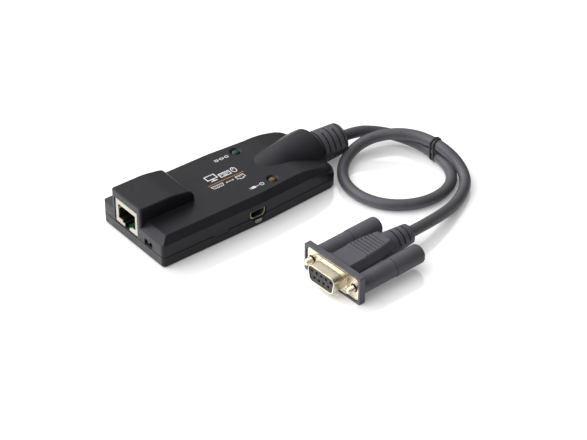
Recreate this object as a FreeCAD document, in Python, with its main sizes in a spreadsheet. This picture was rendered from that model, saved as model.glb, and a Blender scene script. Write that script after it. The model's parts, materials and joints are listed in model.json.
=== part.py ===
import FreeCAD, Part
import math
import os
import Sketcher

# Serial adapter module for a keyboard-video-mouse switch: a two-shell housing with an RJ45 jack,
# a mini-USB port, two indicator lamps and a slide switch, and a short lead that ends in a nine-way
# D connector with two thumbscrews. Millimetres, +Z up. The origin is under the middle of the housing,
# +X runs from the jack end to the lead, and the mini-USB port is on the -Y side.

DIMENSIONS = {
    # how far a cutter runs past what it cuts
    "overrun": 1.0,
    # housing outline
    "length": 93.0, "width": 42.7, "seam_height": 5.2, "wall_rise": 5.6, "roof_rise": 2.5,
    "side_slope_run": 3.1, "end_slope_run": 3.7, "tail_rise": 0.8, "tail_slope_run": 7.5,
    "taper_run": 41.0, "taper_inset": 2.4, "tail_corner": 5.5, "tail_top_corner": 15.0,
    "tail_low_corner": 12.0, "tail_flat": 0.8,
    "end_corner": 1.8, "base_edge": 1.0, "wall": 1.8, "roof": 1.8, "floor": 1.8,
    "seam_groove": 0.35, "seam_depth": 0.5,
    # raised hood over the jack
    "hood_gap": 0.6, "hood_shift": 0.2, "hood_head": 1.6, "hood_length": 27.2,
    "hood_flat": 16.0, "hood_shoulder_drop": 1.9, "hood_bend": 28.0, "hood_nose": 4.2,
    "hood_corner": 1.0, "hood_edge": 0.5, "hood_foot": 0.5,
    # swelling over the lead's anchorage
    "lead_height": 7.8, "swell_length": 30.4, "swell_radius": 9.6, "swell_nose": 9.3, "swell_edge": 0.8,
    "swell_foot": 1.0,
    # tongue and notch that keep the shells in line
    "tongue_start": 25.3, "tongue_length": 7.2, "tongue_drop": 1.4, "notch_gap": 0.25,
    "fit_gap": 0.1,
    # circuit board
    "board_end_gap": 0.4, "board_tail_gap": 15.0, "board_side_gap": 0.43, "board_thick": 1.6,
    "board_lift": 0.1, "post_radius": 2.0, "post_inset": 4.2, "post_first": 32.0, "post_back": 22.0,
    # RJ45 jack
    "jack_width": 15.6, "jack_height": 11.7, "jack_depth": 16.0, "jack_middle": 4.6,
    "jack_recess": 0.4, "jack_gap": 0.15, "plug_way_width": 12.0, "plug_way_top": 2.5,
    "plug_way_height": 7.0, "plug_way_depth": 12.5, "latch_way_width": 6.4, "latch_way_drop": 0.9,
    "latch_slot_width": 3.4, "contact_pitch": 1.02, "contact_width": 0.46,
    "contact_thick": 0.3, "contact_length": 7.2, "contact_foot": 1.4, "contact_setback": 1.4,
    "contact_drop": 2.5,
    # mini-USB receptacle
    "usb_place": 48.2, "usb_width": 7.7, "usb_height": 3.9, "usb_foot_width": 5.6, "usb_step": 1.5,
    "usb_depth": 9.0, "usb_sheet": 0.4, "usb_recess": 0.7, "usb_gap": 0.3, "usb_tongue_width": 4.6,
    "usb_tongue_thick": 0.9, "usb_tongue_length": 5.6, "usb_pin_pitch": 0.8, "usb_pin_width": 0.3,
    "usb_pin_thick": 0.15, "usb_back": 1.2, "usb_tongue_lift": 0.5, "usb_pin_setback": 0.6,
    "usb_tongue_bevel": 0.25, "usb_sink": 1.2, "usb_tab_setback": 4.5, "usb_tab_length": 2.5,
    "usb_tab_reach": 1.8, "usb_tab_thick": 0.8,
    # indicator lamps
    "lamp_back": 30.8, "lamp_offset": 12.8, "lamp_radius": 1.5, "lamp_flange": 1.9,
    "lamp_body": 4.6, "lamp_flange_thick": 0.9, "lamp_sink": 0.5, "lamp_hole": 1.65,
    "lamp_mouth": 2.7, "lamp_pin": 0.25, "lamp_pin_gap": 1.27, "lamp_dome": 1.4,
    # slide switch
    "switch_middle": -11.0, "switch_window": 5.4, "switch_window_height": 2.9, "switch_body_width": 7.0,
    "switch_body_depth": 3.0, "switch_body_height": 3.2, "switch_wall": 0.5, "slider_width": 1.6,
    "slider_height": 1.3, "slider_reach": 1.5, "switch_travel": 1.5, "slider_gap": 0.3,
    # board parts
    "chip_side": 10.0, "chip_height": 1.4, "chip_place": 40.0, "chip_middle": 3.0,
    "driver_length": 10.3, "driver_width": 7.4, "driver_height": 2.3, "driver_setback": 20.2,
    "crystal_length": 11.0, "crystal_width": 4.6, "crystal_height": 3.5, "crystal_place": 28.0,
    "crystal_gap": 0.6, "crystal_corner": 2.07, "capacitor_radius": 2.5, "capacitor_height": 5.4,
    "capacitor_place": 44.0, "capacitor_middle": 12.5, "capacitor_pitch": 7.0,
    "header_setback": 7.7, "header_length": 6.0, "header_width": 14.0, "header_height": 4.0,
    "header_wall": 0.8, "header_sole": 1.0, "lead_plug_gap": 0.1, "lead_plug_length": 7.4,
    "core_radius": 0.55, "core_pitch": 2.0,
    # strain relief on the housing
    "boot_root": 7.7, "boot_tip": 6.9, "boot_length": 14.2, "boot_bevel": 1.6, "boot_neck": 4.5,
    "collar_gap": 0.2, "boot_collar_thick": 2.2, "boot_slots": 5, "boot_slot_width": 0.9,
    "boot_slot_depth": 1.7, "boot_slot_first": 1.6, "boot_slot_pitch": 2.45,
    # slots round both strain reliefs, as angles from straight down
    "slot_start": 92.0, "slot_bridge": 20.0, "slot_low_sweep": 134.0,
    # lead
    "lead_radius": 2.5, "lead_straight": 10.0, "tie_gap": 0.05, "tie_thick": 0.6, "tie_width": 2.2,
    "tie_round": 0.98, "tie_x": 30.15, "tie_y": -30.6, "tie_heading": 4.0, "strand_low": 1.32,
    "strand_high": 3.52,
    # D connector: place of the flange's front, from the strain relief's tip, and its heading
    "plug_x": -61.5, "plug_y": -72.3, "plug_heading": 2.7,
    "flange_width": 33.0, "flange_height": 12.8, "flange_thick": 2.8, "flange_corner": 0.7,
    "plate_width": 30.8, "plate_height": 11.0, "plate_corner": 2.4, "plate_thick": 0.8,
    "plate_recess": 0.5, "d_width": 16.33, "d_height": 7.9, "d_slant": 1.39, "d_corner": 2.2,
    "d_reach": 5.9, "d_sheet": 0.4, "insert_recess": 0.3, "pin_setback": 1.2, "pin_pitch": 2.77,
    "row_pitch": 2.84,
    "pin_hole": 0.65, "pin_radius": 0.6, "pin_bore": 0.42, "pin_bore_depth": 5.0,
    "platform_margin": 1.2, "platform_rise": 1.0, "platform_thick": 0.8, "platform_corner": 1.0,
    "screw_pitch": 24.99, "screw_radius": 1.42, "screw_reach": 3.2, "screw_gap": 0.06,
    "screw_plate_gap": 0.45, "screw_seat": 6.0, "screw_bevel": 0.4, "thread_depth": 0.32, "thread_gap": 0.3,
    "knob_radius": 4.2, "knob_start": 20.8, "knob_length": 15.4, "knob_edge": 1.5, "knob_gap": 0.2,
    "knob_slot_width": 1.1, "knob_slot_depth": 1.0,
    "core_half": 8.3, "core_waist": 7.4, "core_tail": 6.2, "core_waist_at": 20.0, "core_end": 29.6,
    "core_low": 0.9, "core_slope_run": 2.2, "core_slope_drop": 3.6, "core_bevel": 1.6,
    "core_edge": 0.9,
    "tube_radius": 4.0, "web_half": 1.2, "panel_length": 8.6, "panel_width": 11.4, "panel_start": 4.2,
    "panel_depth": 0.5, "grip_count": 7, "grip_first": 14.2, "grip_pitch": 1.75, "grip_width": 0.55,
    "grip_depth": 0.5, "grip_length": 10.2, "grip_taper": 0.35,
    "tail_boot_root": 5.6, "tail_boot_tip": 4.4, "tail_boot_length": 13.0, "tail_boot_bevel": 1.2,
    "tail_slots": 3, "tail_slot_width": 1.0, "tail_slot_depth": 2.0, "tail_slot_first": 2.6,
    "tail_slot_pitch": 3.0,
}

doc = FreeCAD.newDocument("kvm_adapter")
dims = doc.addObject("Spreadsheet::Sheet", "dims")
for row, (alias, value) in enumerate(DIMENSIONS.items(), start=1):
    dims.set(f"A{row}", alias)
    dims.set(f"B{row}", str(value))
    dims.setAlias(f"B{row}", alias)
doc.recompute()

RIGHT = FreeCAD.Rotation()
ALONG_X = FreeCAD.Rotation(FreeCAD.Vector(0, 1, 0), 90)
FIRST_RADIUS = 0.1
CLOSE = 0.01
PARALLEL = 0.999
ARC_SHARE = 0.45
CONTACTS = 8
USB_PINS = 5
CAPACITORS = 2
CORES = 5
SUBPARTS = []


def size(alias):
    return float(dims.get(alias))


def bind(obj, expressions):
    for path, text in expressions.items():
        obj.setExpression(path, text)
    return obj


def place(obj, x="0", y="0", z="0"):
    return bind(obj, {"Placement.Base.x": x, "Placement.Base.y": y, "Placement.Base.z": z})


def block(name, x, y, z, dx, dy, dz):
    """A block given by its low corner and its three lengths."""
    obj = doc.addObject("Part::Box", name)
    bind(obj, {"Length": dx, "Width": dy, "Height": dz})
    return place(obj, x, y, z)


def rod(name, x, y, z, radius, length, rotation=RIGHT, angle=None):
    """A cylinder from the middle of its first end, along Z unless it is turned."""
    obj = doc.addObject("Part::Cylinder", name)
    obj.Placement = FreeCAD.Placement(FreeCAD.Vector(), rotation)
    bind(obj, {"Radius": radius, "Height": length})
    if angle:
        bind(obj, {"Angle": angle})
    return place(obj, x, y, z)


def fuse(name, *shapes):
    obj = doc.addObject("Part::MultiFuse", name)
    obj.Shapes = list(shapes)
    obj.Refine = True
    return obj


def cut(name, base, *tools):
    obj = doc.addObject("Part::Cut", name)
    obj.Base = base
    obj.Tool = tools[0] if len(tools) == 1 else fuse(name + "_tools", *tools)
    obj.Refine = True
    return obj


def common(name, *shapes):
    obj = doc.addObject("Part::MultiCommon", name)
    obj.Shapes = list(shapes)
    obj.Refine = True
    return obj


def group(name, *shapes):
    obj = doc.addObject("Part::Compound", name)
    obj.Links = list(shapes)
    return obj


def outline(body, name, role, points, lift="0", rounds=None):
    """A closed polygon on one of the body's own planes, each corner held by two driven distances.

    rounds gives the radius of each corner that is rounded, by the corner's number.
    """
    sketch = body.newObject("Sketcher::SketchObject", name)
    plane = next(item for item in body.Origin.OriginFeatures if item.Role == role)
    sketch.AttachmentSupport = (plane, [""])
    sketch.MapMode = "FlatFace"
    sketch.setExpression("AttachmentOffset.Base.z", lift)
    count = len(points)
    ring = []
    for index in range(count):
        turn = 2 * math.pi * index / count
        ring.append(FreeCAD.Vector(math.cos(turn), math.sin(turn), 0))
    for index in range(count):
        sketch.addGeometry(Part.LineSegment(ring[index], ring[(index + 1) % count]))
    for index in range(count):
        sketch.addConstraint(Sketcher.Constraint("Coincident", index, 2, (index + 1) % count, 1))
    for index, (across, up) in enumerate(points):
        for kind, text, value in (("DistanceX", across, ring[index].x), ("DistanceY", up, ring[index].y)):
            which = sketch.addConstraint(Sketcher.Constraint(kind, -1, 1, index, 1, value))
            sketch.setExpression(f"Constraints[{which}]", text)
    for index, radius in (rounds or {}).items():
        doc.recompute()
        arc = len(sketch.Geometry)
        sketch.fillet(index, 1, FIRST_RADIUS, True, True, False)
        which = sketch.addConstraint(Sketcher.Constraint("Radius", arc, FIRST_RADIUS))
        sketch.setExpression(f"Constraints[{which}]", radius)
    return sketch


def new_body(name):
    return doc.addObject("PartDesign::Body", name)


def pad(body, name, role, points, length, lift="0", rounds=None):
    sketch = outline(body, name + "_outline", role, points, lift, rounds)
    feature = body.newObject("PartDesign::Pad", name)
    feature.Profile = sketch
    feature.setExpression("Length", length)
    return feature


def revolve(body, name, points):
    """Turn a profile, drawn as distance along X and radius, about the body's X axis."""
    sketch = outline(body, name + "_profile", "XZ_Plane", points)
    feature = body.newObject("PartDesign::Revolution", name)
    feature.Profile = sketch
    feature.ReferenceAxis = (sketch, ["H_Axis"])
    feature.Angle = 360
    return feature


def edges_where(feature, test):
    return [f"Edge{index}" for index, edge in enumerate(feature.Shape.Edges, start=1) if test(edge)]


def runs_along(edge, axis):
    if len(edge.Vertexes) < 2:
        return False
    step = edge.Vertexes[1].Point - edge.Vertexes[0].Point
    return edge.Curve.TypeId == "Part::GeomLine" and abs(step.normalize().dot(axis)) > PARALLEL


def dress(body, kind, base, edges, expressions):
    """A fillet or chamfer on the named edges of a body's last feature."""
    feature = body.newObject("PartDesign::" + kind, f"{base.Name}_{kind.lower()}_{len(body.Group)}")
    feature.Base = (base, edges)
    bind(feature, expressions)
    doc.recompute()
    return feature


def round_off(name, base, *choices):
    """Rounded edges on a joined shape: each choice is a test and the radius of the edges that pass it."""
    doc.recompute()
    picked = []
    for test, radius in choices:
        for index, edge in enumerate(base.Shape.Edges, start=1):
            if test(edge):
                picked.append((index, radius, radius))
    obj = doc.addObject("Part::Fillet", name)
    obj.Base = base
    obj.Edges = picked
    return obj


def subpart(obj, label, x="0", y="0", z="0", heading=None):
    """Name a finished piece and set where it sits."""
    obj.Label = label
    place(obj, x, y, z)
    if heading:
        obj.setExpression("Placement.Rotation.Angle", heading)
    SUBPARTS.append(obj)
    return obj


def in_housing(obj, label):
    """Housing pieces are drawn from the jack end, so they move back by half the length."""
    return subpart(obj, label, x="-dims.length / 2")


def in_plug(obj, label):
    """Connector pieces are drawn from the flange's front, and turn with the connector."""
    return subpart(obj, label, f"{BOOT_TIP} + dims.plug_x", "dims.plug_y", "0", "dims.plug_heading")


X, Y, Z = FreeCAD.Vector(1, 0, 0), FreeCAD.Vector(0, 1, 0), FreeCAD.Vector(0, 0, 1)
BOOT_TIP = "(dims.length / 2 + dims.fit_gap + dims.boot_length)"
BOARD_TOP = "(dims.seam_height + dims.board_lift)"
BOARD_UNDER = f"({BOARD_TOP} - dims.board_thick)"
BOARD_START = "(dims.wall + dims.board_end_gap)"
BOARD_END = "(dims.length - dims.wall - dims.board_tail_gap)"
BOARD_TAPER = "dims.taper_inset * (dims.taper_run - dims.wall - dims.board_tail_gap) / dims.taper_run"
BOARD_HALF = f"(dims.width / 2 - dims.wall - {BOARD_TAPER} - dims.board_side_gap)"
POST_ACROSS = f"({BOARD_HALF} - dims.post_inset)"
LAMP_PLACE = "(dims.length - dims.lamp_back)"
TAPER_START = "(dims.length - dims.taper_run)"
ROOF_TOP = "(dims.seam_height + dims.wall_rise + dims.roof_rise)"
USB_LOW = f"({BOARD_TOP} - dims.usb_sink)"
HOOD_WIDTH = "(dims.jack_width + 2 * (dims.wall + dims.hood_gap))"
HOOD_MIDDLE = "(dims.jack_middle - dims.hood_shift)"
HOOD_TOP = f"({BOARD_TOP} + dims.jack_height + dims.hood_head + dims.roof)"


# Housing forms

TAIL_CORNERS = (2, 3)
END_CORNERS = (0, 5)


def plan(inset):
    """Plan of the walls, moved in by an inset: straight sides that draw in towards the tail."""
    half = f"(dims.width / 2 - ({inset}))"
    tail = f"({half} - dims.taper_inset)"
    return [
        (inset, f"-{half}"), (TAPER_START, f"-{half}"), (f"dims.length - ({inset})", f"-{tail}"),
        (f"dims.length - ({inset})", tail), (TAPER_START, half), (inset, half),
    ]


def wall_form(name, inset, low, high):
    """Upright walls with rounded corners, from one height to another."""
    body = new_body(name)
    rounds = {corner: f"dims.tail_corner - ({inset})" for corner in TAIL_CORNERS}
    end_radius = f"max(dims.end_corner - ({inset}); dims.end_corner / 2)"
    rounds.update({corner: end_radius for corner in END_CORNERS})
    pad(body, name + "_pad", "XY_Plane", plan(inset), f"({high}) - ({low})", low, rounds)
    return body


def slope_form(name, drop):
    """The sloping roof edges: a four-sided frustum whose tail corners are strongly rounded."""
    body = new_body(name)
    side_rate = "dims.side_slope_run / dims.roof_rise"
    end_rate = "dims.end_slope_run / dims.roof_rise"
    tail_rate = "dims.tail_slope_run / (dims.wall_rise + dims.roof_rise - dims.tail_rise)"
    low_half = f"(dims.width / 2 + dims.wall_rise * {side_rate})"
    top_half = "(dims.width / 2 - dims.side_slope_run)"
    low_end = f"-dims.wall_rise * {end_rate}"
    low_tail = f"dims.length + dims.tail_rise * {tail_rate}"
    top_tail = "dims.length - dims.tail_slope_run"
    top_corner = f"min(dims.tail_top_corner; {top_half} - dims.taper_inset - dims.tail_flat)"

    def ring(end, half, tail):
        narrow = f"({half} - dims.taper_inset)"
        return [(end, f"-{half}"), (TAPER_START, f"-{half}"), (tail, f"-{narrow}"),
                (tail, narrow), (TAPER_START, half), (end, half)]

    low = outline(body, name + "_low", "XY_Plane", ring(low_end, low_half, low_tail),
                  f"dims.seam_height - ({drop})",
                  {corner: "dims.tail_low_corner" for corner in TAIL_CORNERS})
    top = outline(body, name + "_top", "XY_Plane", ring("dims.end_slope_run", top_half, top_tail),
                  f"{ROOF_TOP} - ({drop})",
                  {corner: top_corner for corner in TAIL_CORNERS})
    loft = body.newObject("PartDesign::AdditiveLoft", name + "_loft")
    loft.Profile = low
    loft.Sections = [top]
    loft.Ruled = True
    return body


def hood_form(name, inset):
    """Raised hood over the jack: flat, then a bent shoulder that rolls down to the roof."""
    body = new_body(name)
    top = f"({HOOD_TOP} - ({inset}))"
    far = f"(dims.hood_length - ({inset}))"
    shoulder = f"({top} - dims.hood_shoulder_drop)"
    points = [(inset, "dims.seam_height"), (far, "dims.seam_height"), (far, shoulder),
              ("dims.hood_flat", top), (inset, top)]
    width = f"{HOOD_WIDTH} - 2 * ({inset})"
    side = f"-({HOOD_MIDDLE} + {HOOD_WIDTH} / 2 - ({inset}))"
    hood = pad(body, name + "_pad", "XZ_Plane", points, width, side)
    doc.recompute()
    roof_top = size("seam_height") + size("wall_rise") + size("roof_rise")
    before = size("hood_flat") / 2
    middle = (size("hood_flat") + size("hood_length")) / 2

    def crosswise(edge):
        return runs_along(edge, Y) and edge.CenterOfMass.z > roof_top

    bend = edges_where(hood, lambda edge: crosswise(edge) and before < edge.CenterOfMass.x < middle)
    hood = dress(body, "Fillet", hood, bend, {"Radius": "dims.hood_bend"})
    nose = edges_where(hood, lambda edge: crosswise(edge) and edge.CenterOfMass.x > middle)
    hood = dress(body, "Fillet", hood, nose, {"Radius": f"dims.hood_nose - ({inset}) / 2"})
    if inset == "0":

        def at_front(edge):
            return edge.BoundBox.XMax < CLOSE

        def beside(edge):
            return edge.BoundBox.YLength < CLOSE and edge.BoundBox.ZMax > roof_top

        corners = edges_where(hood, lambda edge: at_front(edge) and runs_along(edge, Z))
        hood = dress(body, "Fillet", hood, corners, {"Radius": "dims.hood_corner"})
        edges = edges_where(hood, lambda edge: (crosswise(edge) and at_front(edge))
                            or (beside(edge) and not at_front(edge)))
        dress(body, "Fillet", hood, edges, {"Radius": "dims.hood_edge"})
    return body


def swell_form(name, inset):
    """Swelling round the lead's axis: a barrel with a domed nose and a rolled rear edge."""
    body = new_body(name)
    radius = f"(dims.swell_radius - ({inset}))"
    start = f"(dims.length - dims.swell_length + ({inset}))"
    end = f"(dims.length - ({inset}))"
    barrel = revolve(body, name + "_turn", [(start, "0"), (start, radius), (end, radius), (end, "0")])
    doc.recompute()
    half_way = size("length") - size("swell_length") / 2

    def rim(edge, front):
        at_rim = edge.Curve.TypeId == "Part::GeomCircle"
        return at_rim and (edge.CenterOfMass.x < half_way) == front

    nose = edges_where(barrel, lambda edge: rim(edge, True))
    barrel = dress(body, "Fillet", barrel, nose, {"Radius": f"dims.swell_nose - ({inset})"})
    if inset == "0":
        rear = edges_where(barrel, lambda edge: rim(edge, False))
        dress(body, "Fillet", barrel, rear, {"Radius": "dims.swell_edge"})
    return place(body, z="dims.lead_height")


def above_seam(name):
    """Everything over the parting line, as a tool."""
    return block(name, "-dims.length", "-dims.width", "dims.seam_height",
                 "3 * dims.length", "2 * dims.width", HOOD_TOP)


def tongues(name, grow):
    """One tongue on each long side, which reaches down over the parting line."""
    pieces = []
    for side, edge in (("front", "-dims.width / 2"), ("back", "dims.width / 2 - dims.wall")):
        pieces.append(block(
            f"{name}_{side}", f"dims.tongue_start - ({grow})", edge,
            f"dims.seam_height - dims.tongue_drop - ({grow})", f"dims.tongue_length + 2 * ({grow})",
            "dims.wall", f"dims.tongue_drop + ({grow})"))
    return pieces


def posts(name, low, high):
    """Four posts that hold the board, two on each side."""
    pieces = []
    for index, along in enumerate(("dims.post_first", "dims.length - dims.post_back")):
        for side in (-1, 1):
            across = f"{side} * {POST_ACROSS}"
            pieces.append(rod(f"{name}_{index}_{side + 1}", along, across, low, "dims.post_radius",
                              f"({high}) - ({low})"))
    return pieces


def neck_hole(name):
    """Hole through the tail wall for the neck of the strain relief."""
    return rod(name, "dims.length - 3 * dims.wall", "0", "dims.lead_height",
               "dims.boot_neck + dims.fit_gap", "6 * dims.wall", ALONG_X)


def jack_window(name):
    gap = "dims.jack_gap"
    return block(name, "-dims.wall", f"dims.jack_middle - dims.jack_width / 2 - {gap}", "0",
                 "3 * dims.wall", f"dims.jack_width + 2 * {gap}",
                 f"{BOARD_TOP} + dims.jack_height + {gap}")


def usb_profile(grow):
    """Front of the receptacle, wide above and narrower below, as distances along X and height."""
    half = f"(dims.usb_width / 2 + ({grow}))"
    foot = f"(dims.usb_foot_width / 2 + ({grow}))"
    low = f"{USB_LOW} - ({grow})"
    high = f"{USB_LOW} + dims.usb_height + ({grow})"
    knee = f"{USB_LOW} + dims.usb_step"
    middle = "dims.usb_place"
    return [(f"{middle} - {foot}", low), (f"{middle} + {foot}", low), (f"{middle} + {half}", knee),
            (f"{middle} + {half}", high), (f"{middle} - {half}", high), (f"{middle} - {half}", knee)]


def usb_window(name):
    body = new_body(name)
    pad(body, name + "_pad", "XZ_Plane", usb_profile("dims.usb_gap"), "3 * dims.wall",
        "dims.width / 2 - 2 * dims.wall")
    return body


def switch_window(name):
    return block(name, "-dims.wall", "dims.switch_middle - dims.switch_window / 2", "dims.seam_height",
                 "3 * dims.wall", "dims.switch_window", "dims.switch_window_height")


def lamp_holes(name):
    """A drilled hole with a countersunk mouth over each lamp."""
    tools = []
    for side in (-1, 1):
        across = f"{side} * dims.lamp_offset"
        tools.append(rod(f"{name}_{side + 1}", LAMP_PLACE, across, BOARD_TOP,
                         "dims.lamp_hole", ROOF_TOP))
        cone = doc.addObject("Part::Cone", f"{name}_mouth_{side + 1}")
        bind(cone, {"Radius1": "dims.lamp_hole", "Radius2": "dims.lamp_mouth",
                    "Height": "dims.lamp_mouth - dims.lamp_hole"})
        tools.append(place(cone, LAMP_PLACE, across,
                           f"{ROOF_TOP} - (dims.lamp_mouth - dims.lamp_hole)"))
    return tools


def round_roof(outside, hood, swell):
    """Round the foot of the hood and of the swelling where they rise from the roof."""
    doc.recompute()
    roof_top = size("seam_height") + size("wall_rise") + size("roof_rise")
    hood_box, swell_box = hood.Shape.BoundBox, swell.Shape.BoundBox
    hood_box.enlarge(CLOSE)
    swell_box.enlarge(CLOSE)

    def reaches_roof(edge):
        return abs(edge.BoundBox.ZMax - roof_top) < CLOSE

    def hood_foot(edge):
        level = edge.BoundBox.ZLength < CLOSE
        return level and reaches_roof(edge) and hood_box.isInside(edge.CenterOfMass)

    def swell_foot(edge):
        return reaches_roof(edge) and swell_box.isInside(edge.CenterOfMass)

    return round_off("upper_rounded", outside, (hood_foot, size("hood_foot")),
                     (swell_foot, size("swell_foot")))


def make_upper_shell():
    hood = hood_form("hood_outside", "0")
    swell = common("swell_above", swell_form("swell_outside", "0"), above_seam("swell_limit"))
    outside = fuse(
        "upper_outside",
        common("upper_block", wall_form("upper_walls", "0", "dims.seam_height", ROOF_TOP),
               slope_form("upper_slopes", "0")),
        hood, swell, *tongues("tongue", "0"))
    outside = round_roof(outside, hood, swell)
    inside = fuse(
        "upper_inside",
        common("upper_hollow", wall_form("upper_wall_hollow", "dims.wall", "dims.seam_height - dims.roof",
                                         f"{ROOF_TOP} - dims.roof"),
               slope_form("upper_slope_hollow", "dims.roof")),
        common("hood_hollow_above", hood_form("hood_hollow", "dims.wall"), above_seam("hood_limit")),
        swell_form("swell_hollow", "dims.wall"))
    shell = cut("upper_hollowed", outside, inside)
    ribs = posts("upper_post", BOARD_TOP, f"{ROOF_TOP} - dims.roof / 2")
    shell = fuse("upper_with_posts", shell, *ribs)
    in_housing(cut("upper_cut", shell, jack_window("jack_window_up"), usb_window("usb_window_up"),
                   switch_window("switch_window_up"), neck_hole("neck_hole_up"),
                   *lamp_holes("lamp_hole")), "upper_shell")


def seam_rebate():
    """What is cut from the tray's top outer edge, so that the parting line shows as a groove."""
    low = "(dims.seam_height - dims.seam_groove)"
    band = block("seam_band", "-dims.overrun", "-dims.width", low, "dims.length + 2 * dims.overrun",
                 "2 * dims.width", "2 * dims.seam_groove")
    land = wall_form("seam_land", "dims.seam_depth", f"{low} - dims.overrun",
                     "dims.seam_height + dims.overrun")
    return cut("seam_rebate", band, land)


def make_lower_shell():
    tray = wall_form("lower_walls", "0", "0", "dims.seam_height")
    doc.recompute()
    last = tray.Tip
    base = edges_where(last, lambda edge: edge.BoundBox.ZMax < CLOSE)
    dress(tray, "Fillet", last, base, {"Radius": "dims.base_edge"})
    hollow = wall_form("lower_hollow", "dims.wall", "dims.floor", "dims.seam_height + dims.wall")
    tray = cut("lower_hollowed", tray, hollow, seam_rebate())
    tray = fuse("lower_with_posts", tray, *posts("lower_post", "dims.floor / 2", BOARD_UNDER))
    in_housing(cut("lower_cut", tray, usb_window("usb_window_low"), neck_hole("neck_hole_low"),
                   *tongues("notch", "dims.notch_gap")), "lower_shell")


# Circuit board and what it carries

def make_board():
    body = new_body("board")
    points = [(BOARD_START, f"-{BOARD_HALF}"), (BOARD_END, f"-{BOARD_HALF}"), (BOARD_END, BOARD_HALF),
              (BOARD_START, BOARD_HALF)]
    pad(body, "board_pad", "XY_Plane", points, "dims.board_thick", BOARD_UNDER,
        {corner: "dims.end_corner" for corner in range(len(points))})
    usb_back = "(dims.width / 2 - dims.usb_recess - dims.usb_depth - dims.usb_gap)"
    notch = block("usb_notch", "dims.usb_place - dims.usb_width / 2 - dims.usb_gap",
                  f"-{BOARD_HALF} - dims.overrun", f"{BOARD_UNDER} - dims.overrun",
                  "dims.usb_width + 2 * dims.usb_gap", f"{BOARD_HALF} + dims.overrun - {usb_back}",
                  "dims.board_thick + 2 * dims.overrun")
    in_housing(cut("board_cut", body, notch), "circuit_board")


def make_jack():
    width, low = "dims.jack_width", BOARD_TOP
    body = new_body("jack")
    side = f"dims.jack_middle - {width} / 2"
    shell = block("jack_block", "dims.jack_recess", side, low, "dims.jack_depth", width, "dims.jack_height")
    way_top = f"({low} + dims.jack_height - dims.plug_way_top)"
    way_low = f"({way_top} - dims.plug_way_height)"
    latch_low = f"({way_low} - dims.latch_way_drop)"
    slot_low = f"({low} - dims.overrun)"
    middle = "dims.jack_middle"
    half = "dims.plug_way_width / 2"
    latch = "dims.latch_way_width / 2"
    slot = "dims.latch_slot_width / 2"
    points = [
        (f"{middle} - {half}", way_top), (f"{middle} - {half}", way_low),
        (f"{middle} - {latch}", way_low), (f"{middle} - {latch}", latch_low),
        (f"{middle} - {slot}", latch_low), (f"{middle} - {slot}", slot_low),
        (f"{middle} + {slot}", slot_low), (f"{middle} + {slot}", latch_low),
        (f"{middle} + {latch}", latch_low), (f"{middle} + {latch}", way_low),
        (f"{middle} + {half}", way_low), (f"{middle} + {half}", way_top),
    ]
    pad(body, "plug_way", "YZ_Plane", points, "dims.plug_way_depth + dims.overrun",
        "dims.jack_recess - dims.overrun")
    in_housing(cut("jack_cut", shell, body), "rj45_jack")


def make_jack_contacts():
    """Eight sprung strips that slope down into the plug's way from its roof."""
    roof = f"{BOARD_TOP} + dims.jack_height - dims.plug_way_top"
    start = "dims.jack_recess + dims.contact_setback"
    bend = f"{start} + dims.contact_foot"
    far = f"{bend} + dims.contact_length"
    thick = "dims.contact_thick"
    points = [(start, roof), (bend, roof), (far, f"{roof} - dims.contact_drop"),
              (far, f"{roof} - dims.contact_drop - {thick}"), (bend, f"{roof} - {thick}"),
              (start, f"{roof} - {thick}")]
    wires = []
    for index in range(CONTACTS):
        across = f"dims.jack_middle + ({index} - {(CONTACTS - 1) / 2}) * dims.contact_pitch"
        wire = new_body(f"jack_wire_{index}")
        pad(wire, f"jack_wire_{index}_pad", "XZ_Plane", points, "dims.contact_width",
            f"-({across}) - dims.contact_width / 2")
        wires.append(wire)
    in_housing(group("jack_wires", *wires), "rj45_contacts")


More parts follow.
